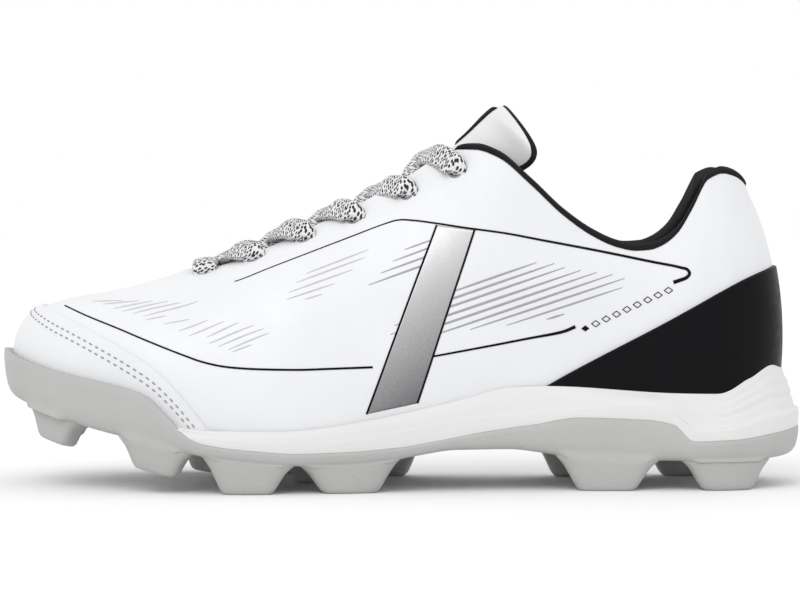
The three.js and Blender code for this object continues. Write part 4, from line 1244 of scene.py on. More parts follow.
@dataclass(frozen=True)
class Finishes:
    """Every finish of the shoe, made once."""

    leather: Material
    cap: Material
    tongue: Material
    film: Material
    knit: Material
    label: Material
    sock: Material
    foam: Material
    rubber: Material
    studs: Material
    lace: Material
    silver: Material
    ink: Material
    stripe: Material
    pale: Material
    thread: Material
    # grey painted shade for the eyelets' edges and the linings of their holes
    hole: Material

    @staticmethod
    def make() -> "Finishes":
        """Makes all the materials.

        Returns:
            The finishes.
        """
        return Finishes(
            leather=CoatedLeather().make(),
            cap=CoatedLeather("cap_leather", (0.735, 0.74, 0.755), pores=1200.0, roughness=0.38).make(),
            tongue=CoatedLeather("tongue_leather", (0.71, 0.71, 0.715), pores=1700.0, roughness=0.5).make(),
            film=HeelFilm().make(),
            knit=PaddedKnit().make(),
            label=PaddedKnit("label_weave", (0.01, 0.01, 0.011), stitches=1500.0).make(),
            sock=PaddedKnit("insole_weave", (0.06, 0.06, 0.065), stitches=700.0).make(),
            foam=SoleFoam().make(),
            rubber=StudRubber("cup_rubber", start=0.028, end=0.072).make(),
            studs=StudRubber(colour=(0.445, 0.445, 0.435)).make(),
            lace=LaceBraid().make(),
            silver=SilverPrint().make(),
            ink=PlainPrint("black_ink", (0.004, 0.004, 0.004), shine=0.08).make(),
            stripe=PlainPrint("grey_ink", (0.36, 0.36, 0.37)).make(),
            pale=PlainPrint("pale_ink", (0.56, 0.56, 0.57)).make(),
            thread=PlainPrint("thread", (0.33, 0.33, 0.34), roughness=0.7, grain=5000.0).make(),
            # grey for the eyelets' edges and linings: painted shade of the holes, not the leather's own
            # colour
            hole=PlainPrint("punched_edge_painted_shade", (0.3, 0.3, 0.31), roughness=0.8).make(),
        )


# Pieces


@dataclass(frozen=True)
class Outsole:
    """Grey rubber: the cup with its toe bumper, and the studs."""

    columns: int = 520
    side_rows: int = 22
    under_rows: int = 8
    stud_around: int = 44
    stud_levels: tuple[float, ...] = (
        1.35, 1.2, 1.1, 1.0, 0.9, 0.8, 0.7, 0.55, 0.32, 0.16, 0.06, 0.015, 0, 0, 0
    )  # fmt: skip
    root_flare: float = 2.2
    flare_from: float = 0.6
    flare_over: float = 0.5
    root_sunk: float = 1.2
    lean: float = 1.1
    cover_ease: float = 2.0
    covered: float = 1.6
    tip_round: float = 1.3
    tip_level: float = 0.16
    tip_inner: tuple[float, float] = (0.6, 0.0)
    near_turn: float = 0.6
    near_steps: int = 241

    def stud_cover(self, turn: Array) -> Array:
        """How far the wall runs on down into a stud: 1 beside one and 0 between two.

        Args:
            turn: the turns.

        Returns:
            The share at each.
        """
        point, _ = edge(turn)
        cover = np.zeros_like(turn)
        for side, at, inset, length, _, _ in zip(*STUDS.values()):
            own, out = edge(np.array([along_to_turn(at, Side(int(side)))]), inset)
            away = point - own
            along = np.abs(away @ np.array([-out[0, 1], out[0, 0]]))
            near = np.clip((length / 2 + self.cover_ease - along) / (2 * self.cover_ease), 0, 1)
            near = np.where(np.linalg.norm(away, axis=-1) < length, near, 0)
            cover = np.maximum(cover, eased(near))
        return cover

    def cup(self) -> Shell:
        """The cup's outside: the tread, its rounded corner, the side wall and the rim's top.

        Beside a stud the corner's insets shrink to the stud's own, so that wall and stud are one.

        Returns:
            The surface.
        """
        turn = even_turns(self.columns)
        cover = self.stud_cover(turn)
        places = np.arange(len(OUTSOLE_SIDE["inset"]), dtype=float)
        row = np.linspace(0, places[-1], self.side_rows)
        insets, rises = smooth(places, OUTSOLE_SIDE["inset"])(row), smooth(places, OUTSOLE_SIDE["rise"])(row)
        side = [
            loops(turn, shrunk, lambda at, r=r: mix(tread_at(at), seam_at(at), r))
            for shrunk, r in zip(mix(insets, insets.clip(max=self.covered), cover[:, None]).T, rises)
        ]
        middle = middle_loop(turn, tread_at)
        under = [mix(middle, side[0], s) for s in np.linspace(0, 1, self.under_rows, endpoint=False)]
        top = [
            loops(turn, np.full_like(turn, inset), lambda at, lift=lift: seam_at(at) + lift)
            for inset, lift in zip(OUTSOLE_RIM["inset"], OUTSOLE_RIM["lift"])
        ]
        return Shell.empty().add(np.stack(under + side + top), wrap_columns=True)

    def stud(self, place: Plan, length: float, width: float, grounded: bool) -> Array:
        """One stud's grid: rounded rectangles that shrink from its root to its flat tip.

        Args:
            place: gives x and y for distances along and across the stud.
            length: its root's length.
            width: its root's width.
            grounded: whether its tip stands on the ground.

        Returns:
            The grid, closed at its tip by a last row in the middle.
        """
        height = np.array(self.stud_levels)
        flare = self.root_flare * np.clip((height - self.flare_from) / self.flare_over, 0, 1) ** 2
        below = (1 - height / self.tip_level).clip(0, 1)
        corner = self.tip_round * (1 - np.sqrt(1 - below**2))
        slope = np.clip(height, 0, 1)
        half_l = length / 2 * mix(STUD_TAPER, 1, slope) + flare - corner
        sunk = self.root_sunk * np.clip((height - 1) / 0.2, 0, 1)
        half_w = width / 2 * mix(STUD_SIDE_TAPER, 1, slope) - corner - sunk
        half_l[-2:] *= self.tip_inner
        half_w[-2:] *= self.tip_inner
        inward = np.where(half_w > 0, flare, 0)[:, None]
        c, s = oval(self.stud_around, STUD_ROUNDING)
        u, v = half_l[:, None] * c, half_w[:, None] * s
        v = v + inward * np.clip(s, 0, 1) - self.lean * (1 - slope)[:, None]
        level = place(u, v)
        tread = tread_at(x_to_along(level[..., 0]))
        tip = np.zeros_like(tread) if grounded else np.maximum(tread - STUD_HEIGHT, 0)
        return np.concatenate([level, mix(tip, tread, height[:, None])[..., None]], -1)

    def studs(self) -> Shell:
        """All the studs, those along the edge and those in the middle of the forefoot.

        Returns:
            The surface.
        """
        shell = Shell.empty()
        for side, at, inset, length, width, grounded in zip(*STUDS.values()):
            middle = along_to_turn(at, Side(int(side)))
            near = middle + np.linspace(-self.near_turn, self.near_turn, self.near_steps)
            run = distances(edge(near, inset)[0])
            bent = partial(self.beside, near, run - run[len(run) // 2], inset)
            shell.add(self.stud(bent, length, width, bool(grounded)), wrap_columns=True)
        for at, swing, length, width in zip(*MIDDLE_STUDS.values()):
            centre = np.array([along_to_x(at), HALF_BALL * swing])
            shell.add(self.stud(partial(self.inside, centre), length, width, False), wrap_columns=True)
        return shell

    @staticmethod
    def beside(near: Array, run: Array, inset: float, u: Array, v: Array) -> Array:
        """Places along and across a stud that bends with the sole's edge."""
        return edge(np.interp(u, run, near), inset + v)[0]

    @staticmethod
    def inside(centre: Array, u: Array, v: Array) -> Array:
        """Places along and across a stud that points straight ahead."""
        return centre + np.stack([u, v], -1)

    def build(self, finish: Finishes) -> None:
        """Makes the cup and the studs."""
        dress(self.cup().build("outsole_cup", finish.rubber), "rubber_grey", "outsole")
        dress(self.studs().build("outsole_studs", finish.studs), "rubber_grey")


@dataclass(frozen=True)
class Midsole:
    """White foam between outsole and upper, with a lip and a groove round the heel."""

    columns: int = 520
    rows: int = 96
    ribs: tuple[float, ...] = (5.6, 6.05, 6.5)
    rib_width: float = 0.11
    rib_depth: float = 0.45
    ribs_end: float = 0.13
    tucked: float = 3.4
    closing: float = 1.2
    closing_more: float = 1.1
    ribs_fade: float = 0.05
    fade: float = 0.03
    most_tuck: float = 0.6
    groove_limits: tuple[float, float] = (0.3, 0.8)
    below: float = 2.5
    wall: tuple[tuple[float, float], ...] = ((0.45, 0.0), (0.15, 0.08), (0.0, 0.4), (0.1, 0.85))
    lip_over: tuple[float, float] = (0.2, 0.4)
    cove: tuple[float, float] = (0.35, 0.5)
    rim: tuple[tuple[float, float], ...] = ((-0.3, -0.6), (0.25, 0.05))
    inside_rim: tuple[tuple[float, float], ...] = ((0.0, -0.3), (1.4, -4.0))

    def shell(self) -> Shell:
        """The foam's outside as a smooth stack of loops from inside the cup to inside the rim.

        A stop of the stack is an inset for each turn and a height by place. The wall's stops are
        insets and shares of the way up to the groove. Those of the rim are insets and rises from it.
        Between film and toe cap the rim reaches further in, under the bare skin. Round the heel, fine
        grooves are pressed into the foam at the ribs' places in the stack.

        Returns:
            The surface.
        """
        turn = even_turns(self.columns)
        foot_at = turn_to_along(turn)
        tuck = OUTSOLE_WALL * np.clip((seam_at(foot_at) - rim_at(foot_at)) / 2, 0, self.most_tuck)
        rim_inset = foot_inset(foot_at) - RIM_THICKNESS - COUNTER_THICKNESS - OVERLAY_GAP - CLEARANCE
        lip = MIDSOLE_LIP * groove_depth(foot_at)
        past_film = np.clip((foot_at - COUNTER_FRONT) / self.fade, 0, 1)
        before_cap = np.clip((TOE_CAP_BACK - foot_at) / self.fade, 0, 1)
        closed = self.closing + self.closing_more * past_film * before_cap
        level = np.ones_like(turn)

        def low(at: Array) -> Array:
            """The foam's lower edge."""
            return np.minimum(seam_at(at), rim_at(at) - 1)

        def groove(at: Array) -> Array:
            """The groove's height, kept between the edges."""
            return np.clip(groove_at(at), *(mix(low(at), rim_at(at), share) for share in self.groove_limits))

        stops: list[tuple[Array, Line]] = [
            (level * self.tucked, lambda at: low(at) - self.below),
            *(
                (level * inset, lambda at, share=share: mix(low(at), groove(at), share))
                for inset, share in self.wall
            ),
            (lip + self.lip_over[0], lambda at: groove(at) + self.lip_over[1]),
            (mix(lip, rim_inset, self.cove[0]), lambda at: mix(groove(at), rim_at(at), self.cove[1])),
            *(
                (start + inset, lambda at, rise=rise: rim_at(at) + rise)
                for start, rows in ((rim_inset, self.rim), (rim_inset + closed, self.inside_rim))
                for inset, rise in rows
            ),
        ]
        rings = np.stack([loops(turn, np.maximum(inset, tuck), height) for inset, height in stops])
        grid = refined(rings, self.rows)
        row = np.linspace(0, len(stops) - 1, self.rows)
        _, out = edge(turn)
        near_heel = np.clip((self.ribs_end - foot_at) / self.ribs_fade, 0, 1)
        dip = sum(np.exp(-(((row - place) / self.rib_width) ** 2)) for place in self.ribs)
        grid[..., :2] -= self.rib_depth * dip[:, None, None] * (near_heel[:, None] * out)[None]
        return Shell.empty().add(grid, wrap_columns=True)

    def build(self, finish: Finishes) -> None:
        """Makes the foam."""
        dress(self.shell().build("midsole_foam", finish.foam), "foam_white", "midsole")


@dataclass(frozen=True)
class Upper:
    """The hollow upper with its punched eyelets."""

    columns: int = 640
    rows: int = 96
    inner_rows: int = 30
    hole_reach: float = 5.0
    brow: float = 0.3
    cloth: float = 0.35
    cloth_gap: float = 0.1
    cloth_ends: tuple[float, float] = (0.02, 0.8)
    sleeve_around: int = 28

    def eyelets(self) -> list[tuple[Array, Array]]:
        """The middle of each eyelet on the skin, with the direction out of it.

        Returns:
            A point and a direction for each.
        """
        found = []
        for side in Side:
            for along in EYELETS:
                turn, t = np.array([top_turn(along, side)]), np.array([1 - EYELET_INSET])
                found.append((skin(turn, t)[0], skin_normal(turn, t)[0]))
        return found

    def punch(self, grid: Array, wrapped: bool) -> tuple[Array, Array]:
        """Cuts the eyelets into a grid: points within a hole move out to its rim.

        Args:
            grid: the skin's points.
            wrapped: whether the last row joins the first.

        Returns:
            The moved points, and which faces stay.
        """
        inside = np.zeros(grid.shape[:2], bool)
        for centre, out in self.eyelets():
            away = grid - centre
            deep = away @ out
            flat = away - deep[..., None] * out
            gap = np.linalg.norm(flat, axis=-1)
            hit = (gap < EYELET_RADIUS) & (np.abs(deep) < self.hole_reach)
            inside |= hit
            moved = centre + deep[..., None] * out + flat * (EYELET_RADIUS / np.maximum(gap, 1e-6))[..., None]
            grid = np.where(hit[..., None], moved, grid)
        mask = np.concatenate([inside, inside[:1]]) if wrapped else inside
        full = mask[:-1, :-1] & mask[:-1, 1:] & mask[1:, 1:] & mask[1:, :-1]
        return grid, ~full

    def shell(self) -> Shell:
        """The wall: the skin, its rounded top edge, the inner face and the turned-in margin.

        Returns:
            The surface.
        """
        turn = even_turns(self.columns)[:, None]
        share = np.linspace(0, 1, self.rows)[None, :]
        outer, outer_keep = self.punch(skin(turn, share), True)
        share = np.linspace(1, 0, self.inner_rows)[None, :]
        inner, inner_keep = self.punch(skin(turn, share, -UPPER_WALL), True)
        closed = turn_to_along(turn) >= THROAT_END
        middle = skin(turn, np.ones((1, 1)), -UPPER_WALL / 2)
        up = unit(skin(turn, np.ones((1, 1))) - skin(turn, np.full((1, 1), 0.98)))
        brow = np.where(closed[..., None], middle, middle + up * UPPER_WALL * self.brow)
        rim = np.concatenate([outer[:, -1:], brow, inner[:, :1]], 1)
        rim_keep = ~(closed & np.roll(closed, -1, axis=0))[:, 0]
        edge_point, _ = edge(turn[:, 0], foot_inset(turn_to_along(turn[:, 0])) + LASTING_MARGIN)
        under = floor_at(x_to_along(edge_point[:, :1])) + CLEARANCE
        margin = [np.concatenate([edge_point, under + lift], -1)[:, None] for lift in (UPPER_WALL, 0)]
        hem = np.concatenate([inner[:, -1:], *margin, outer[:, :1]], 1)
        shell = Shell.empty()
        shell.add(outer, wrap_rows=True, keep=outer_keep)
        shell.add(rim, wrap_rows=True, keep=np.repeat(rim_keep[:, None], 2, 1))
        shell.add(inner, wrap_rows=True, keep=inner_keep)
        shell.add(hem, wrap_rows=True)
        return shell

    def inside(self) -> Shell:
        """The thin cloth inside the wall, below the eyelets and the collar's padding.

        Returns:
            The surface.
        """
        turn = even_turns(self.columns // 2)[:, None]
        share = np.linspace(*self.cloth_ends, self.inner_rows)[None, :]
        near = skin(turn, share, -UPPER_WALL - self.cloth_gap)
        far = skin(turn, share[:, ::-1], -UPPER_WALL - self.cloth_gap - self.cloth)
        return Shell.empty().add(np.concatenate([near, far], 1), wrap_rows=True, wrap_columns=True)

    def sleeves(self) -> Shell:
        """The cut edge of each eyelet: a ring that rolls over the hole's rim and lines it, coloured grey as
        painted shade of the hole.

        Returns:
            The surface.
        """
        shell = Shell.empty()
        angle = lap(self.sleeve_around)
        reach, rise = (EYELET_EDGE[name][:, None, None] for name in ("reach", "rise"))
        for centre, out in self.eyelets():
            across = unit(np.cross(out, [0.0, 0.0, 1.0]))
            up = np.cross(out, across)
            ring = across * np.cos(angle)[:, None] + up * np.sin(angle)[:, None]
            grid = centre + EYELET_RADIUS * reach * ring + rise * out
            shell.add(grid, wrap_columns=True, wrap_rows=True)
        return shell

    def build(self, finish: Finishes) -> None:
        """Makes the wall, the eyelets' edges in grey painted shade, and the cloth.

        Args:
            finish: the shoe's finishes.
        """
        dress(self.shell().build("upper_wall", finish.leather), "leather_white", "upper")
        # the eyelets' rings and linings are grey as painted shade of the holes
        dress(self.sleeves().build("eyelet_edges_painted_shade", finish.hole), "leather_white")
        dress(self.inside().build("upper_cloth", finish.knit), "lining_black")


@dataclass(frozen=True)
class Overlay:
    """A thin layer on the skin up to an edge line, with a rounded edge."""

    name: str
    node: str
    slot: str
    thickness: float
    edge_rows: dict[str, Array]
    start: float
    over_toe: bool
    columns: int = 300
    rows: int = 60
    crowding: float = 0.8
    rounding: float = 0.6
    end_taper: float = 3.0
    stitch: float = 1.9
    stitch_gap: float = 1.1
    stitch_radius: float = 0.32

    def turns(self) -> Array:
        """The columns that it covers.

        Returns:
            The turns.
        """
        if self.over_toe:
            ends = along_to_turn(self.start, Side.OUTER), along_to_turn(self.start, Side.INNER)
        else:
            ends = -along_to_turn(self.start, Side.OUTER), along_to_turn(self.start, Side.OUTER)
        return np.mod(np.linspace(*ends, self.columns), 2 * np.pi)

    def edge_share(self, turn: Array) -> Array:
        """The share of each column at the layer's edge line."""
        return np.maximum(share_under(turn, upper_line(self.edge_rows)), 0.02)

    def heights(self) -> tuple[Array, Array, Array]:
        """The layer's columns, the share of each at its edge line and its height there.

        Returns:
            Turns, shares and heights.
        """
        turn = self.turns()
        top = self.edge_share(turn)
        return turn, top, np.linalg.norm(column(turn, top) - column(turn, top * 0), axis=1)

    def shell(self) -> Shell:
        """The layer: full thickness that falls as a quarter circle at its edge.

        Returns:
            The surface.
        """
        turn, top, height = self.heights()
        share = np.linspace(0, 1, self.rows) ** self.crowding
        t = top[:, None] * share
        gap = (1 - share)[None, :] * height[:, None]
        fall = np.clip(1 - gap / self.rounding, 0, 1)
        raised = OVERLAY_GAP + self.thickness * np.sqrt(1 - fall**2)
        raised = np.where(gap <= 0, 0.0, raised)
        ends = np.clip(from_ends(self.columns) / self.end_taper, 0, 1)
        outer = skin(turn[:, None], t, raised * ends[:, None] - 0.05)
        inner = skin(turn[:, None], t[:, ::-1], np.full(t.shape, -0.1))
        return Shell.empty().add(np.concatenate([outer, inner], 1), wrap_columns=True)

    def seam(self, down: float) -> Shell:
        """A row of stitches a distance down from the edge, which shrinks over the toe.

        Args:
            down: the distance.

        Returns:
            The stitches.
        """
        turn, top, height = self.heights()
        down = down * mix(0.6, 1.0, np.clip(np.abs(np.sin(turn)) * 2.2, 0, 1))
        keep = height > down + 1.5
        turn, t = turn[keep], (top * (1 - down / height))[keep]
        lift = OVERLAY_GAP + self.thickness - 0.03
        path, out = skin(turn, t, lift), skin_normal(turn, t)
        return stitches(path, out, self.stitch, self.stitch_gap, self.stitch_radius)

    def build(self, material: Material) -> None:
        """Makes the layer."""
        dress(self.shell().build(self.name, material), self.slot, self.node)


TOE_CAP = Overlay(
    "toe_cap_layer", "toe_cap", "cap_white", TOE_CAP_THICKNESS, TOE_CAP_EDGE, TOE_CAP_BACK, True
)
COUNTER = Overlay(
    "heel_film_layer", "heel_counter", "film_black", COUNTER_THICKNESS, COUNTER_EDGE, COUNTER_FRONT, False,
    rounding=0.5,
)  # fmt: skip


@dataclass(frozen=True)
class CollarLining:
    """The padded lining with the roll that closes over the collar's edge."""

    columns: int = 420
    rows: int = 44
    stops: int = 9
    end_taper: float = 5.0
    evening: int = 60
    column_steps: int = 24
    up_from: float = 0.9
    deepest: float = 0.6
    belly: tuple[float, float] = (0.3, 0.98)
    tucked: float = 0.5

    def evened(self, grid: Array) -> Array:
        """Evens a grid along the collar: each pass moves a point halfway to its neighbours' mean.

        Args:
            grid: points with one row for each place along the collar.

        Returns:
            The evened points.
        """
        for _ in range(self.evening):
            grid = np.concatenate([grid[:1], (grid[:-2] + 2 * grid[1:-1] + grid[2:]) / 4, grid[-1:]])
        return grid

    def shell(self) -> Shell:
        """The padding: sections over the roll and down the pad, with a closed point at each end.

        Returns:
            The surface.
        """
        reach = along_to_turn(LINING_FRONT, Side.OUTER)
        turn = np.mod(np.linspace(-reach, reach, self.columns), 2 * np.pi)
        fill = line(LINING_FILL, "fill")(turn_to_along(turn))[:, None]
        top = skin(turn, np.ones_like(turn))
        out = skin_normal(turn, np.ones_like(turn))
        up = unit(top - skin(turn, np.full_like(turn, self.up_from)))
        columns = column(turn[:, None], np.linspace(0, 1, self.column_steps)[None, :])
        length = np.linalg.norm(np.diff(columns, axis=1), axis=2).sum(1)
        depth = np.minimum(LINING_DEPTH / length, self.deepest)[:, None]
        ends = np.sqrt(1 - np.clip(1 - from_ends(self.columns) / self.end_taper, 0, 1) ** 2)[:, None]
        against = UPPER_WALL + CLEARANCE
        roll = (
            top[:, None]
            + out[:, None] * (COLLAR_ROLL * ROLL["out"] * ends)[..., None]
            + up[:, None] * (LINING_LIFT + COLLAR_ROLL * ROLL["up"] * ends)[..., None]
        )
        share = np.linspace(0, 1, self.stops)[None, :]
        belly = np.sin(np.pi * mix(*self.belly, share))
        pad = LINING_EDGE + (LINING_THICKNESS - LINING_EDGE) * fill * belly
        inner = self.evened(skin(turn[:, None], 1 - depth * share, -(against + pad * ends)))
        outer = skin(turn[:, None], 1 - depth * share[:, ::-1], np.full(pad.shape, -against))
        outer[:, -1] += up * LINING_LIFT * self.tucked
        stops = np.concatenate([outer[:, -1:], roll, inner], 1)
        curve = refined(stops.swapaxes(0, 1), self.rows).swapaxes(0, 1)
        section = np.concatenate([curve, outer[:, :-1]], 1)
        first, last = (
            np.repeat(end.mean(1, keepdims=True), section.shape[1], 1) for end in (section[:1], section[-1:])
        )
        return Shell.empty().add(np.concatenate([first, section, last]), wrap_columns=True)

    def build(self, finish: Finishes) -> None:
        """Makes the padding."""
        piece = self.shell().build("collar_padding", finish.knit)
        dress(piece, "lining_black", "collar_lining")


@dataclass(frozen=True)
class Insole:
    """The sock's board under the foot."""

    columns: int = 240

    def build(self, finish: Finishes) -> None:
        """Makes the board as loops from its underside to its cupped top.

        Args:
            finish: the shoe's finishes.
        """
        turn = even_turns(self.columns)
        inset = foot_inset(turn_to_along(turn)) + UPPER_WALL + 1

        def height(share: float) -> Line:
            """A level of the board."""
            return lambda at: floor_at(at) + UPPER_WALL + 2 * CLEARANCE + share * INSOLE_THICKNESS

        rows = zip(BOARD["inset"], BOARD["share"])
        rings = [loops(turn, inset + more, height(share)) for more, share in rows]
        rings = [middle_loop(turn, height(0)), *rings, middle_loop(turn, height(1))]
        shell = Shell.empty().add(np.stack(rings), wrap_columns=True)
        dress(shell.build("insole_board", finish.sock), "insole_grey", "insole")


_tongue = {name: line(TONGUE, name, "along") for name in ("width", "fall", "arch", "lean", "swing")}


def _tongue_crown() -> Line:
    """The crown's height: its own table above the throat, and what passes under the edges below.

    Returns:
        The height by place.
    """
    throat = TOPLINE["along"] > THROAT_TOP
    along, apart, height = (TOPLINE[name][throat] for name in ("along", "apart", "height"))
    aside = ridge_swing(along) - _tongue["swing"](along)
    reach = np.maximum(HALF_BALL * (apart - aside) - UPPER_WALL, 0)
    across = np.minimum(reach / (TONGUE_WIDTH * _tongue["width"](along) / 2), 1)
    fall = TONGUE_WIDTH * _tongue["fall"](along) * across ** _tongue["arch"](along)
    under = STUD_HEIGHT + UPPER_HEIGHT * height - (UPPER_WALL + TONGUE_GAP) * THROAT_SLOPE + fall
    free = STUD_HEIGHT + UPPER_HEIGHT * TONGUE_CROWN["height"]
    return smooth(np.concatenate([TONGUE_CROWN["along"], along]), np.concatenate([free, under]))


tongue_crown = _tongue_crown()


def tongue_point(along: Array, across: Array, offset: Array = 0.0) -> Array:
    """Points of the tongue's face, or of one offset from it.

    A rib falls from its crown by a power of the share across it, in a plane that leans back.

    Args:
        along: places along the shoe.
        across: -1 to 1 across the tongue, with the outer side below nought.
        offset: distance out from the face.

    Returns:
        The points.
    """
    lean = np.radians(_tongue["lean"](along))
    half = TONGUE_WIDTH * _tongue["width"](along) / 2
    whole = TONGUE_WIDTH * _tongue["fall"](along)
    arch = _tongue["arch"](along)
    size = np.abs(across)
    tilt = np.arctan(arch * whole * size ** (arch - 1) / half) * np.sign(across)
    down = whole * size**arch - offset * np.cos(tilt)
    x = along_to_x(along) + np.sin(lean) * down
    y = HALF_BALL * _tongue["swing"](along) + half * across + offset * np.sin(tilt)
    return np.stack(np.broadcast_arrays(x, y, tongue_crown(along) - np.cos(lean) * down), -1)


@dataclass(frozen=True)
class Tongue:
    """The tongue with its bound edge and plain patch."""

    front: float = 0.79
    top: float = 0.373
    corner: float = 0.018
    corner_power: float = 2.4
    ribs: int = 150
    cuts: int = 72
    quilt: float = 0.14
    quilt_end: float = 0.46
    binding: float = 0.8
    binding_end: float = 0.5
    binding_steps: int = 260
    patch_along: tuple[float, float] = (0.431, 0.3795)
    patch_side: float = 0.2
    patch_cells: int = 30
    patch_rounding: float = 2.0

    def outline(self, count: int) -> tuple[Array, Array]:
        """The tongue's place along the shoe and its width's share, rib by rib, with a rounded top.

        Args:
            count: how many ribs lie below the rounded top.

        Returns:
            Places and shares.
        """
        straight = np.linspace(self.front, self.top + self.corner, count)
        angle = np.linspace(0, np.pi / 2, count // 3)[1:]
        climb, shrink = np.sin(angle) ** (2 / self.corner_power), np.cos(angle) ** (2 / self.corner_power)
        along = np.concatenate([straight, self.top + self.corner * (1 - climb)])
        return along, np.concatenate([np.ones(count), np.maximum(shrink, 0)])

    def pad(self) -> Shell:
        """The padded body, whose faces draw together at its edges.

        Returns:
            The surface.
        """
        along, width = self.outline(self.ribs)
        across = np.sin(np.linspace(-np.pi / 2, np.pi / 2, self.cuts))
        swell = np.sqrt(1 - np.abs(across) ** 10)[None, :]
        half = TONGUE_THICKNESS / 2
        quilt = self.quilt * np.exp(-((across[None, :] / 0.85) ** 4)) * (along[:, None] < self.quilt_end)
        spread = across[None, :] * width[:, None]
        thin = np.sqrt(np.clip(width, 0.02, 1))[:, None]
        upper = tongue_point(along[:, None], spread, -half + (half * swell + quilt) * thin)
        lower = tongue_point(along[:, None], spread[:, ::-1], -half - half * swell[:, ::-1] * thin)
        return Shell.empty().add(np.concatenate([upper, lower], 1), wrap_columns=True)

    def edging(self) -> Shell:
        """The bound edge: a round cord of cloth along both sides and over the top.

        Returns:
            The surface.
        """
        along, width = self.outline(self.ribs)
        shown = along < self.binding_end
        along, width = along[shown], width[shown]
        half = -TONGUE_THICKNESS / 2
        rising = tongue_point(along, -width, half)
        falling = tongue_point(along[::-1], width[::-1], half)
        path = flow(np.concatenate([rising, falling[1:]])[::3], self.binding_steps)
        facing = np.tile(unit(np.array([-1.0, 0.0, 1.0])), (len(path), 1))
        size = np.full(len(path), self.binding)
        size[[0, -1]] = 0.01
        return Shell.empty().add(sweep(path, facing, size, size * 1.35, 2.0, 14), wrap_columns=True)

    def patch(self) -> Shell:
        """The plain patch on the crown, a low plate with soft edges.

        Returns:
            The surface.
        """
        along = np.linspace(*self.patch_along, self.patch_cells)[:, None]
        across = np.linspace(-self.patch_side, self.patch_side, self.patch_cells)[None, :]
        edge_gap = np.minimum(from_ends(self.patch_cells) / self.patch_rounding, 1)
        rise = np.sqrt(edge_gap[:, None] * edge_gap[None, :])
        face = tongue_point(along, across, CLEARANCE + (LABEL_THICKNESS - 0.1) * rise)
        back = tongue_point(along, across[:, ::-1], np.full_like(rise, 0.05))
        return Shell.empty().add(np.concatenate([face, back], 1), wrap_columns=True)

    def build(self, finish: Finishes) -> None:
        """Makes the tongue's three pieces.

        Args:
            finish: the shoe's finishes.
        """
        body = self.pad().build("tongue_pad", finish.tongue)
        dress(body, "tongue_white", "tongue")
        dress(self.edging().build("tongue_binding", finish.knit), "lining_black")
        dress(self.patch().build("tongue_patch", finish.label), "label_black", "tongue_label")


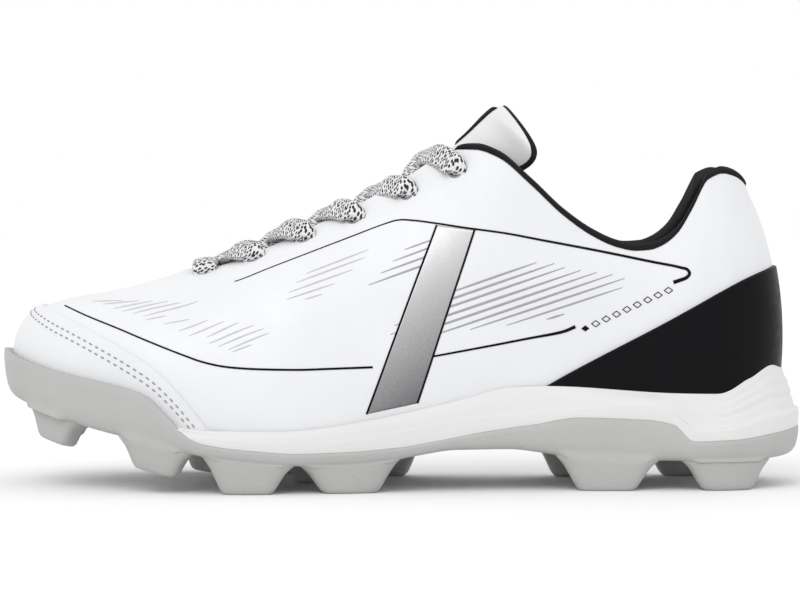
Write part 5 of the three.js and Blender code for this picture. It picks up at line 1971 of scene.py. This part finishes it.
@dataclass(frozen=True)
class Laces:
    """The lace's visible runs, which come up under one edge and go down the other side's eyelet."""

    steps: int = 96
    around: int = 28
    squeeze: float = 6.2
    squeezed: float = 2.4
    swell: float = 1.1
    seat: float = LACE_THICKNESS / 2 + 0.05
    rounding: float = 2.6
    girth: float = 0.8
    bar_arch: float = 3.6
    bar_middle: float = 0.05
    bar_climb: tuple[tuple[float, float], ...] = ((1.0, -4.0), (1.0, -1.0), (0.86, seat), (0.4, seat + 0.8))
    under_lift: float = 0.3
    over_lift: float = 0.3 + 0.85 * LACE_THICKNESS
    plait: float = 5.4
    plait_slant: float = 0.8
    plait_depth: float = 0.11
    stand: tuple[float, ...] = (1.8, 1.8, 0.6, -1.2, -1.0)
    tilt: tuple[float, ...] = (0.75, 0.75, 0.7, 0.5, 0.4)
    from_under: tuple[tuple[float, ...], ...] = ((-0.05, 0.05, 2.4), (0.06, 0.0, 1.0))
    over_tongue: tuple[tuple[float, ...], ...] = ((0.16, 0.36, 0.1, 0.0, 0.0), (0.36, 0.0, 0.0, 1.0, 0.3))
    onto_edge: tuple[tuple[float, ...], ...] = ((0.64, 0.0, 0.35, 1.0), (0.84, 0.5, 0.4, 0.5))
    at_hole: tuple[float, float] = (0.9, 0.5)
    down_hole: tuple[tuple[float, float], ...] = ((1.02, -1.6), (1.05, -4.6))

    def beside(self, side: Side, along: float, down: float, lift: float, tilt: float = 0.0) -> Array:
        """A stop on the skin beside the throat.

        Args:
            side: the shoe's side.
            along: the place along the shoe.
            down: the share of the skin's height down from the throat's edge.
            lift: the distance off the skin.
            tilt: how far the lace's flat side turns from the skin towards the shoe's side.

        Returns:
            The point and the direction that the flat side faces, six numbers.
        """
        turn, t = np.array([top_turn(along, side)]), np.array([1 - down])
        facing = skin_normal(turn, t)[0] + np.array([0, side.value * tilt, 0])
        return np.concatenate([skin(turn, t, lift)[0], unit(facing)])

    def over(self, along: float, across: float, lift: float) -> Array:
        """A stop over the tongue, with the direction out of it.

        Args:
            along: the place along the shoe.
            across: -1 to 1 across the tongue.
            lift: the distance off the tongue.

        Returns:
            The point and the direction.
        """
        at, w = np.array([along]), np.array([across])
        low, high = tongue_point(at, w, np.array([lift])), tongue_point(at, w, np.array([lift + 1]))
        return np.concatenate([low[0], unit(high - low)[0]])

    def run(self, stops: list[Array], narrow_start: bool) -> tuple[Array, Array]:
        """One run of flat braid through stops, squeezed where it goes through an eyelet.

        Args:
            stops: points with directions, six numbers each.
            narrow_start: whether its start is in an eyelet too.

        Returns:
            The grid and its map in millimetres.
        """
        carried = flow(np.array(stops), self.steps)
        path, facing = carried[:, :3], unit(carried[:, 3:])
        run = distances(path)
        near_end = np.clip((run[-1] - run) / self.squeezed, 0, 1)
        near_start = np.clip(run / self.squeezed, 0, 1) if narrow_start else np.ones_like(run)
        wide = mix(self.squeeze, LACE_WIDTH, eased(np.minimum(near_end, near_start))) / 2 * self.swell
        thick = np.full_like(wide, LACE_THICKNESS / 2 * self.swell)
        grid = sweep(path, facing, wide, thick, self.rounding, self.around)
        around = np.linspace(0, 2 * (LACE_WIDTH + LACE_THICKNESS) * self.girth, self.around)
        slant = self.plait_slant * around
        braid = np.sin((run[:, None] + slant) * self.plait) * np.sin((run[:, None] - slant) * self.plait)
        grid = grid + unit(grid - path[:, None]) * (self.plait_depth * braid)[..., None]
        grid[[0, -1]] = path[[0, -1], None]
        return grid, np.stack(np.broadcast_arrays(run[:, None], around[None, :]), -1)

    def bar(self) -> tuple[Array, Array]:
        """The straight run over the lowest pair of eyelets.

        Returns:
            The grid and its map.
        """
        along = EYELETS[0]
        near, far = (
            [self.beside(side, along, EYELET_INSET * down, lift) for down, lift in self.bar_climb]
            for side in Side
        )
        middle = self.over(along, self.bar_middle, self.seat + self.bar_arch)
        return self.run([*near, middle, *far[::-1]], True)

    def diagonal(self, row: int, start: Side, lift: float) -> tuple[Array, Array]:
        """One run from under the edge at the row before to the other side's eyelet at this row.

        Each stop's first number is how far it lies from the row before to this one, and its second
        how far across the tongue, or down from the edge in shares of the skin or of EYELET_INSET. The
        others are lifts in millimetres or shares of the run's own lift and stand.

        Args:
            row: the row of eyelets that it ends in.
            start: the side it starts from.
            lift: how far it stands off the tongue.

        Returns:
            The grid and its map.
        """
        end = Side.INNER if start is Side.OUTER else Side.OUTER
        front, back = EYELETS[row - 1], EYELETS[row]
        stand, tilt = self.stand[row - 1], self.tilt[row - 1]
        stops = [
            self.beside(start, mix(front, back, way), down, -UPPER_WALL - under)
            for way, down, under in self.from_under
        ]
        for way, across, up, by_lift, by_stand in self.over_tongue:
            rise = self.seat + up + by_lift * lift + by_stand * stand
            stops.append(self.over(mix(front, back, way), start.value * across, rise))
        for way, down, up, by_stand in self.onto_edge:
            rise = self.seat + up + by_stand * stand
            stops.append(self.beside(end, mix(front, back, way), EYELET_INSET * down, rise, tilt))
        down, by_tilt = self.at_hole
        stops.append(self.beside(end, back, EYELET_INSET * down, self.seat, by_tilt * tilt))
        stops += [self.beside(end, back, EYELET_INSET * down, rise) for down, rise in self.down_hole]
        return self.run(stops, False)

    def build(self, finish: Finishes) -> None:
        """Makes the bar and the crossings.

        Args:
            finish: the shoe's finishes.
        """
        grid, around = self.bar()
        shell = Shell.empty().add(grid, wrap_columns=True, coordinates=around)
        dress(shell.build("lace_bar_run", finish.lace), "lace_cord", "lace_bar")
        for row in range(1, len(EYELETS)):
            shell = Shell.empty()
            for start, lift in ((Side.INNER, self.under_lift), (Side.OUTER, self.over_lift)):
                grid, around = self.diagonal(row, start, lift)
                shell.add(grid, wrap_columns=True, coordinates=around)
            dress(shell.build(f"lace_runs_{row}", finish.lace), "lace_cord", f"lace_crossing_{row}")


@dataclass(frozen=True)
class Prints:
    """Printed lines and bands, laid on the skin where they show in the photograph."""

    line_lift: float = 0.16
    band_lift: float = 0.12
    stripe_lift: float = 0.08
    sunk: float = -0.18
    pitch: float = 2.0
    band_rows: int = 70
    band_cells: int = 20
    stripe_stops: int = 9
    stripe_point: float = 0.15
    stripe_fullness: float = 0.6
    stripe_ends: tuple[float, float] = (0.02, 0.98)
    outline_width: float = 2.0
    outline_stops: int = 12
    diamond_width: float = 0.8
    diamond_cells: int = 6
    weld: float = 1e-7

    def plate(self, shell: Shell, grid: Array, side: Side, lift: float) -> None:
        """Lays a grid of pixels on the skin as a thin closed plate.

        Args:
            shell: what the plate is added to.
            grid: pixels in rows and columns.
            side: the side of the shoe.
            lift: how far its face stands out.
        """
        turn, t = VIEW.on_skin(grid, side)
        face, back = skin(turn, t, lift), skin(turn, t, self.sunk)
        body = np.concatenate([face, back[:, ::-1]], 1)
        first, last = (np.concatenate([row, row[:, ::-1]], 1) for row in (back[:1], back[-1:]))
        shell.add(np.concatenate([first, body, last]), wrap_columns=True)

    def stroke(self, shell: Shell, points: Array, width: Array, side: Side, lift: float) -> None:
        """A line of varying width along pixels, smoothed through them.

        Args:
            shell: what the stroke is added to.
            points: pixels that the line passes.
            width: its width in pixels at each of them.
            side: the side of the shoe.
            lift: how far its face stands out.
        """
        count = max(int(distances(points)[-1] / self.pitch), 4)
        path = flow(np.column_stack([points, width]), count)
        ahead = unit(np.gradient(path[:, :2], axis=0))
        across = np.stack([-ahead[:, 1], ahead[:, 0]], -1)
        share = np.linspace(-0.5, 0.5, 3)
        grid = path[:, None, :2] + across[:, None] * (share[None, :] * path[:, 2:3])[..., None]
        self.plate(shell, grid, side, lift)

    def pinlines(self) -> Shell:
        """The thin black lines along the side and the hook at their back.

        Returns:
            The surface.
        """
        shell = Shell.empty()
        for side in Side:
            for points, widths in PINLINES:
                pixels = np.array(points, float)
                width = np.interp(np.linspace(0, 1, len(pixels)), np.linspace(0, 1, len(widths)), widths)
                self.stroke(shell, pixels, width, side, self.line_lift)
        return shell

    def speed_stripes(self, rows: tuple[tuple[float, ...], ...]) -> Shell:
        """Straight stripes between two pixels that taper to points at both ends.

        Args:
            rows: the stripes.

        Returns:
            The surface.
        """
        shell = Shell.empty()
        share = np.linspace(0, 1, self.stripe_stops)
        swell = np.sin(np.pi * mix(*self.stripe_ends, share)) ** self.stripe_fullness
        taper = mix(self.stripe_point, 1, swell)
        for side in Side:
            for x0, y0, x1, y1, width in rows:
                pixels = np.column_stack([mix(x0, x1, share), mix(y0, y1, share)])
                self.stroke(shell, pixels, width * taper, side, self.stripe_lift)
        return shell

    def band(self) -> Shell:
        """The plain silver band that slants from the midsole up to the upper line.

        Returns:
            The surface.
        """
        shell = Shell.empty()
        for side in Side:
            low, high = BAND["low"], BAND["high"]
            climb = np.linspace(0, 1, self.band_rows)[:, None]
            share = np.linspace(0, 1, self.band_cells)[None, :, None]
            left = mix(np.array(low[0]), np.array(high[0]), climb)
            right = mix(np.array(low[1]), np.array(high[1]), climb)
            grid = mix(left[:, None], right[:, None], share)
            self.plate(shell, grid, side, self.band_lift)
        return shell

    def band_outline(self) -> Shell:
        """The thin black outline of the band.

        Returns:
            The surface.
        """
        shell = Shell.empty()
        share = np.linspace(0, 1, self.outline_stops)[:, None]
        width = np.full(self.outline_stops, self.outline_width)
        for side in Side:
            for low, high in zip(BAND["low"], BAND["high"]):
                self.stroke(shell, mix(np.array(low), np.array(high), share), width, side, self.line_lift)
        return shell

    def diamonds(self) -> Shell:
        """A row of small diamonds, the first one filled and the others outlined.

        Returns:
            The surface.
        """
        shell = Shell.empty()
        first, last, reach = (np.array(DIAMONDS[name]) for name in ("first", "last", "half"))
        corners = np.array([[-1, 0], [0, -1], [1, 0], [0, 1], [-1, 0]], float)
        across = np.linspace(-1, 1, self.diamond_cells)
        u, v = np.meshgrid(across, across, indexing="ij")
        filled = np.stack([(u + v) / 2, (v - u) / 2], -1)
        share = np.linspace(-0.04, 1.04, 5)[:, None]
        width = np.full(len(share), self.diamond_width)
        for side in Side:
            self.plate(shell, first + filled * reach, side, self.line_lift)
            for n in range(1, DIAMONDS["count"]):
                centre = mix(first, last, n / (DIAMONDS["count"] - 1))
                for a, b in zip(corners[:-1], corners[1:]):
                    self.stroke(shell, centre + mix(a, b, share) * reach, width, side, self.line_lift)
        return shell

    def build(self, finish: Finishes) -> None:
        """Makes every print.

        Args:
            finish: the shoe's finishes.
        """
        prints = (
            ("pinlines", self.pinlines(), finish.ink),
            ("stripes", self.speed_stripes(STRIPES), finish.stripe),
            ("pale_stripes", self.speed_stripes(PALE_STRIPES), finish.pale),
            ("band", self.band(), finish.silver),
            ("band_outline", self.band_outline(), finish.ink),
            ("diamonds", self.diamonds(), finish.ink),
        )
        for name, shell, material in prints:
            dress(shell.build(f"print_{name}", material, self.weld), "leather_white")


# Pixels of the printed lines and their widths from end to end
PINLINES = (
    (((64, 305), (83, 314), (117, 328), (150, 342), (183, 355), (200, 361), (217, 365), (242, 368),
      (294, 369.5), (329, 368.6), (372, 367)), (1.2, 1.9, 2.2)),
    (((433, 356), (460, 351), (500, 343.5), (526.7, 338.3), (542, 335.5), (553, 333.5),
      (565, 330.5), (575, 326.2)), (1.9, 2.4, 3.4)),
    (((234, 281), (272.5, 266.1), (311, 251.3), (349.5, 236.5), (388, 221.6), (393, 219.9),
      (399, 218.8), (412.6, 219.3), (436, 222.4), (460, 226.4),
      (510, 233.6), (538, 239), (596, 250), (653, 261.6), (681, 267.2), (687, 269), (689.3, 272.8),
      (686.5, 276.8), (680, 279.6), (673, 282)), (0.6, 1.2, 1.9, 2.8, 3.8)),
)  # fmt: skip
BAND = {"low": ((366.0, 414.0), (417.0, 403.0)), "high": ((436.0, 224.0), (474.0, 229.5))}
DIAMONDS = {"first": (585.0, 328.0), "last": (668.0, 290.0), "half": (4.2, 3.1), "count": 9}


# Stripes from pixel to pixel, x0 y0 x1 y1, with their width: behind the band, and before it
STRIPES = (
    (446, 293, 536, 262, 2.2), (402, 315, 554, 263, 2.4), (394, 325, 564, 267, 2.4),
    (390, 334, 580, 270, 2.5), (392, 341, 596, 272, 2.5), (430, 336, 612, 274, 2.4),
    (470, 329, 624, 278, 2.2), (506, 325, 622, 287, 1.9), (546, 319, 564, 313.5, 2.0),
    (392, 260.6, 444, 240.6, 1.6), (404, 248.6, 431, 238.6, 1.5), (380, 272.6, 456, 244, 1.9),
    (368, 284.6, 468, 247.4, 2.0),
)  # fmt: skip
PALE_STRIPES = (
    (306, 273, 368, 249, 1.5), (296, 282, 364, 257, 1.6), (288, 292, 352, 269, 1.6),
    (286, 299, 334, 283, 1.5), (304, 299, 322, 293.5, 1.3), (92, 300.8, 122, 300, 1.0),
    (102, 303.7, 138, 300.3, 1.1), (113, 308, 152, 300.3, 1.2), (122, 310.8, 167, 300.3, 1.2),
    (132, 313, 180, 300.8, 1.2), (143, 315.8, 197, 300.3, 1.2), (145, 319.5, 165, 315, 1.0),
    (163, 323.5, 188, 318, 1.0), (178, 330, 207, 319, 1.2), (188, 334.7, 223, 321, 1.3),
    (206, 336, 238, 322.5, 1.4), (208, 342.5, 253, 325, 1.5), (217, 345.8, 263, 328, 1.5),
    (228, 349, 268, 332.5, 1.5), (231, 351.5, 251, 344.5, 1.3),
)  # fmt: skip


# Stage


@dataclass(frozen=True)
class Studio:
    """The pale floor, the soft light and the camera at the photograph's place."""

    sensor: float = 36.0
    clip: tuple[float, float] = (0.05, 60.0)
    floor_size: float = 12.0
    ambient: float = 1.0
    key_toward: tuple[float, float, float] = (-0.45, -1.0, 1.15)
    key_spread: float = 40.0
    key_power: float = 0.75

    def camera(self) -> None:
        """Looks along +Y from the photograph's place, tipped down to the image's middle."""
        data = bpy.data.cameras.new("camera")
        data.sensor_width = self.sensor
        data.lens = VIEW.focal_pixels / VIEW.image_width * self.sensor
        data.clip_start, data.clip_end = self.clip
        camera = bpy.data.objects.new("camera", data)
        camera.location = Vector((0, -VIEW.distance * MM, VIEW.height * MM))
        tip = math.atan((VIEW.centre_y - VIEW.horizon_y) / VIEW.focal_pixels)
        camera.rotation_euler = (math.pi / 2 - tip, 0, 0)
        bpy.context.scene.collection.objects.link(camera)
        bpy.context.scene.camera = camera

    def light(self, name: str, toward: tuple[float, float, float], spread: float, power: float) -> None:
        """An even soft light from far off.

        Args:
            name: the lamp's name.
            toward: the direction from the shoe to the light.
            spread: how wide the light looks, in degrees.
            power: its strength.
        """
        data = bpy.data.lights.new(name, "SUN")
        data.angle, data.energy = math.radians(spread), power
        lamp = bpy.data.objects.new(name, data)
        lamp.location = toward
        lamp.rotation_euler = Vector(toward).to_track_quat("Z", "Y").to_euler()
        bpy.context.scene.collection.objects.link(lamp)

    def floor(self) -> None:
        """A wide pale floor."""
        half = self.floor_size / 2
        mesh = bpy.data.meshes.new("floor")
        corners = [(-half, -half, 0), (half, -half, 0), (half, half, 0), (-half, half, 0)]
        mesh.from_pydata(corners, [], [(0, 1, 2, 3)])
        pale = PlainPrint(
            "pale_floor", (0.9, 0.9, 0.9), roughness=0.95, grain=60.0, depth=0.0, shine=0.05, mottle=0.01
        )
        mesh.materials.append(pale.make())
        floor = bpy.data.objects.new("floor", mesh)
        bpy.context.scene.collection.objects.link(floor)

    def build(self) -> None:
        """Sets up camera, floor, lights and surroundings."""
        scene = bpy.context.scene
        scene.view_settings.view_transform = "Standard"
        world = bpy.data.worlds.new("studio")
        world.use_nodes = True
        ambient = world.node_tree.nodes["Background"]
        ambient.inputs["Color"].default_value = (1, 1, 1, 1)
        ambient.inputs["Strength"].default_value = self.ambient
        scene.world = world
        self.camera()
        self.floor()
        self.light("key", self.key_toward, self.key_spread, self.key_power)


def main() -> None:
    """Loads the solids, dresses them piece by piece and sets the stage."""
    logging.basicConfig(level=logging.INFO, format="%(name)s %(message)s")
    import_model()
    finish = Finishes.make()
    Outsole().build(finish)
    Midsole().build(finish)
    Upper().build(finish)
    TOE_CAP.build(finish.cap)
    COUNTER.build(finish.film)
    for number, down in enumerate(TOE_CAP_SEAMS, start=1):
        seam = TOE_CAP.seam(down).build(f"toe_cap_stitches_{number}", finish.thread)
        dress(seam, "cap_white")
    CollarLining().build(finish)
    Insole().build(finish)
    Tongue().build(finish)
    Laces().build(finish)
    Prints().build(finish)
    Studio().build()


if __name__ == "__main__":
    main()
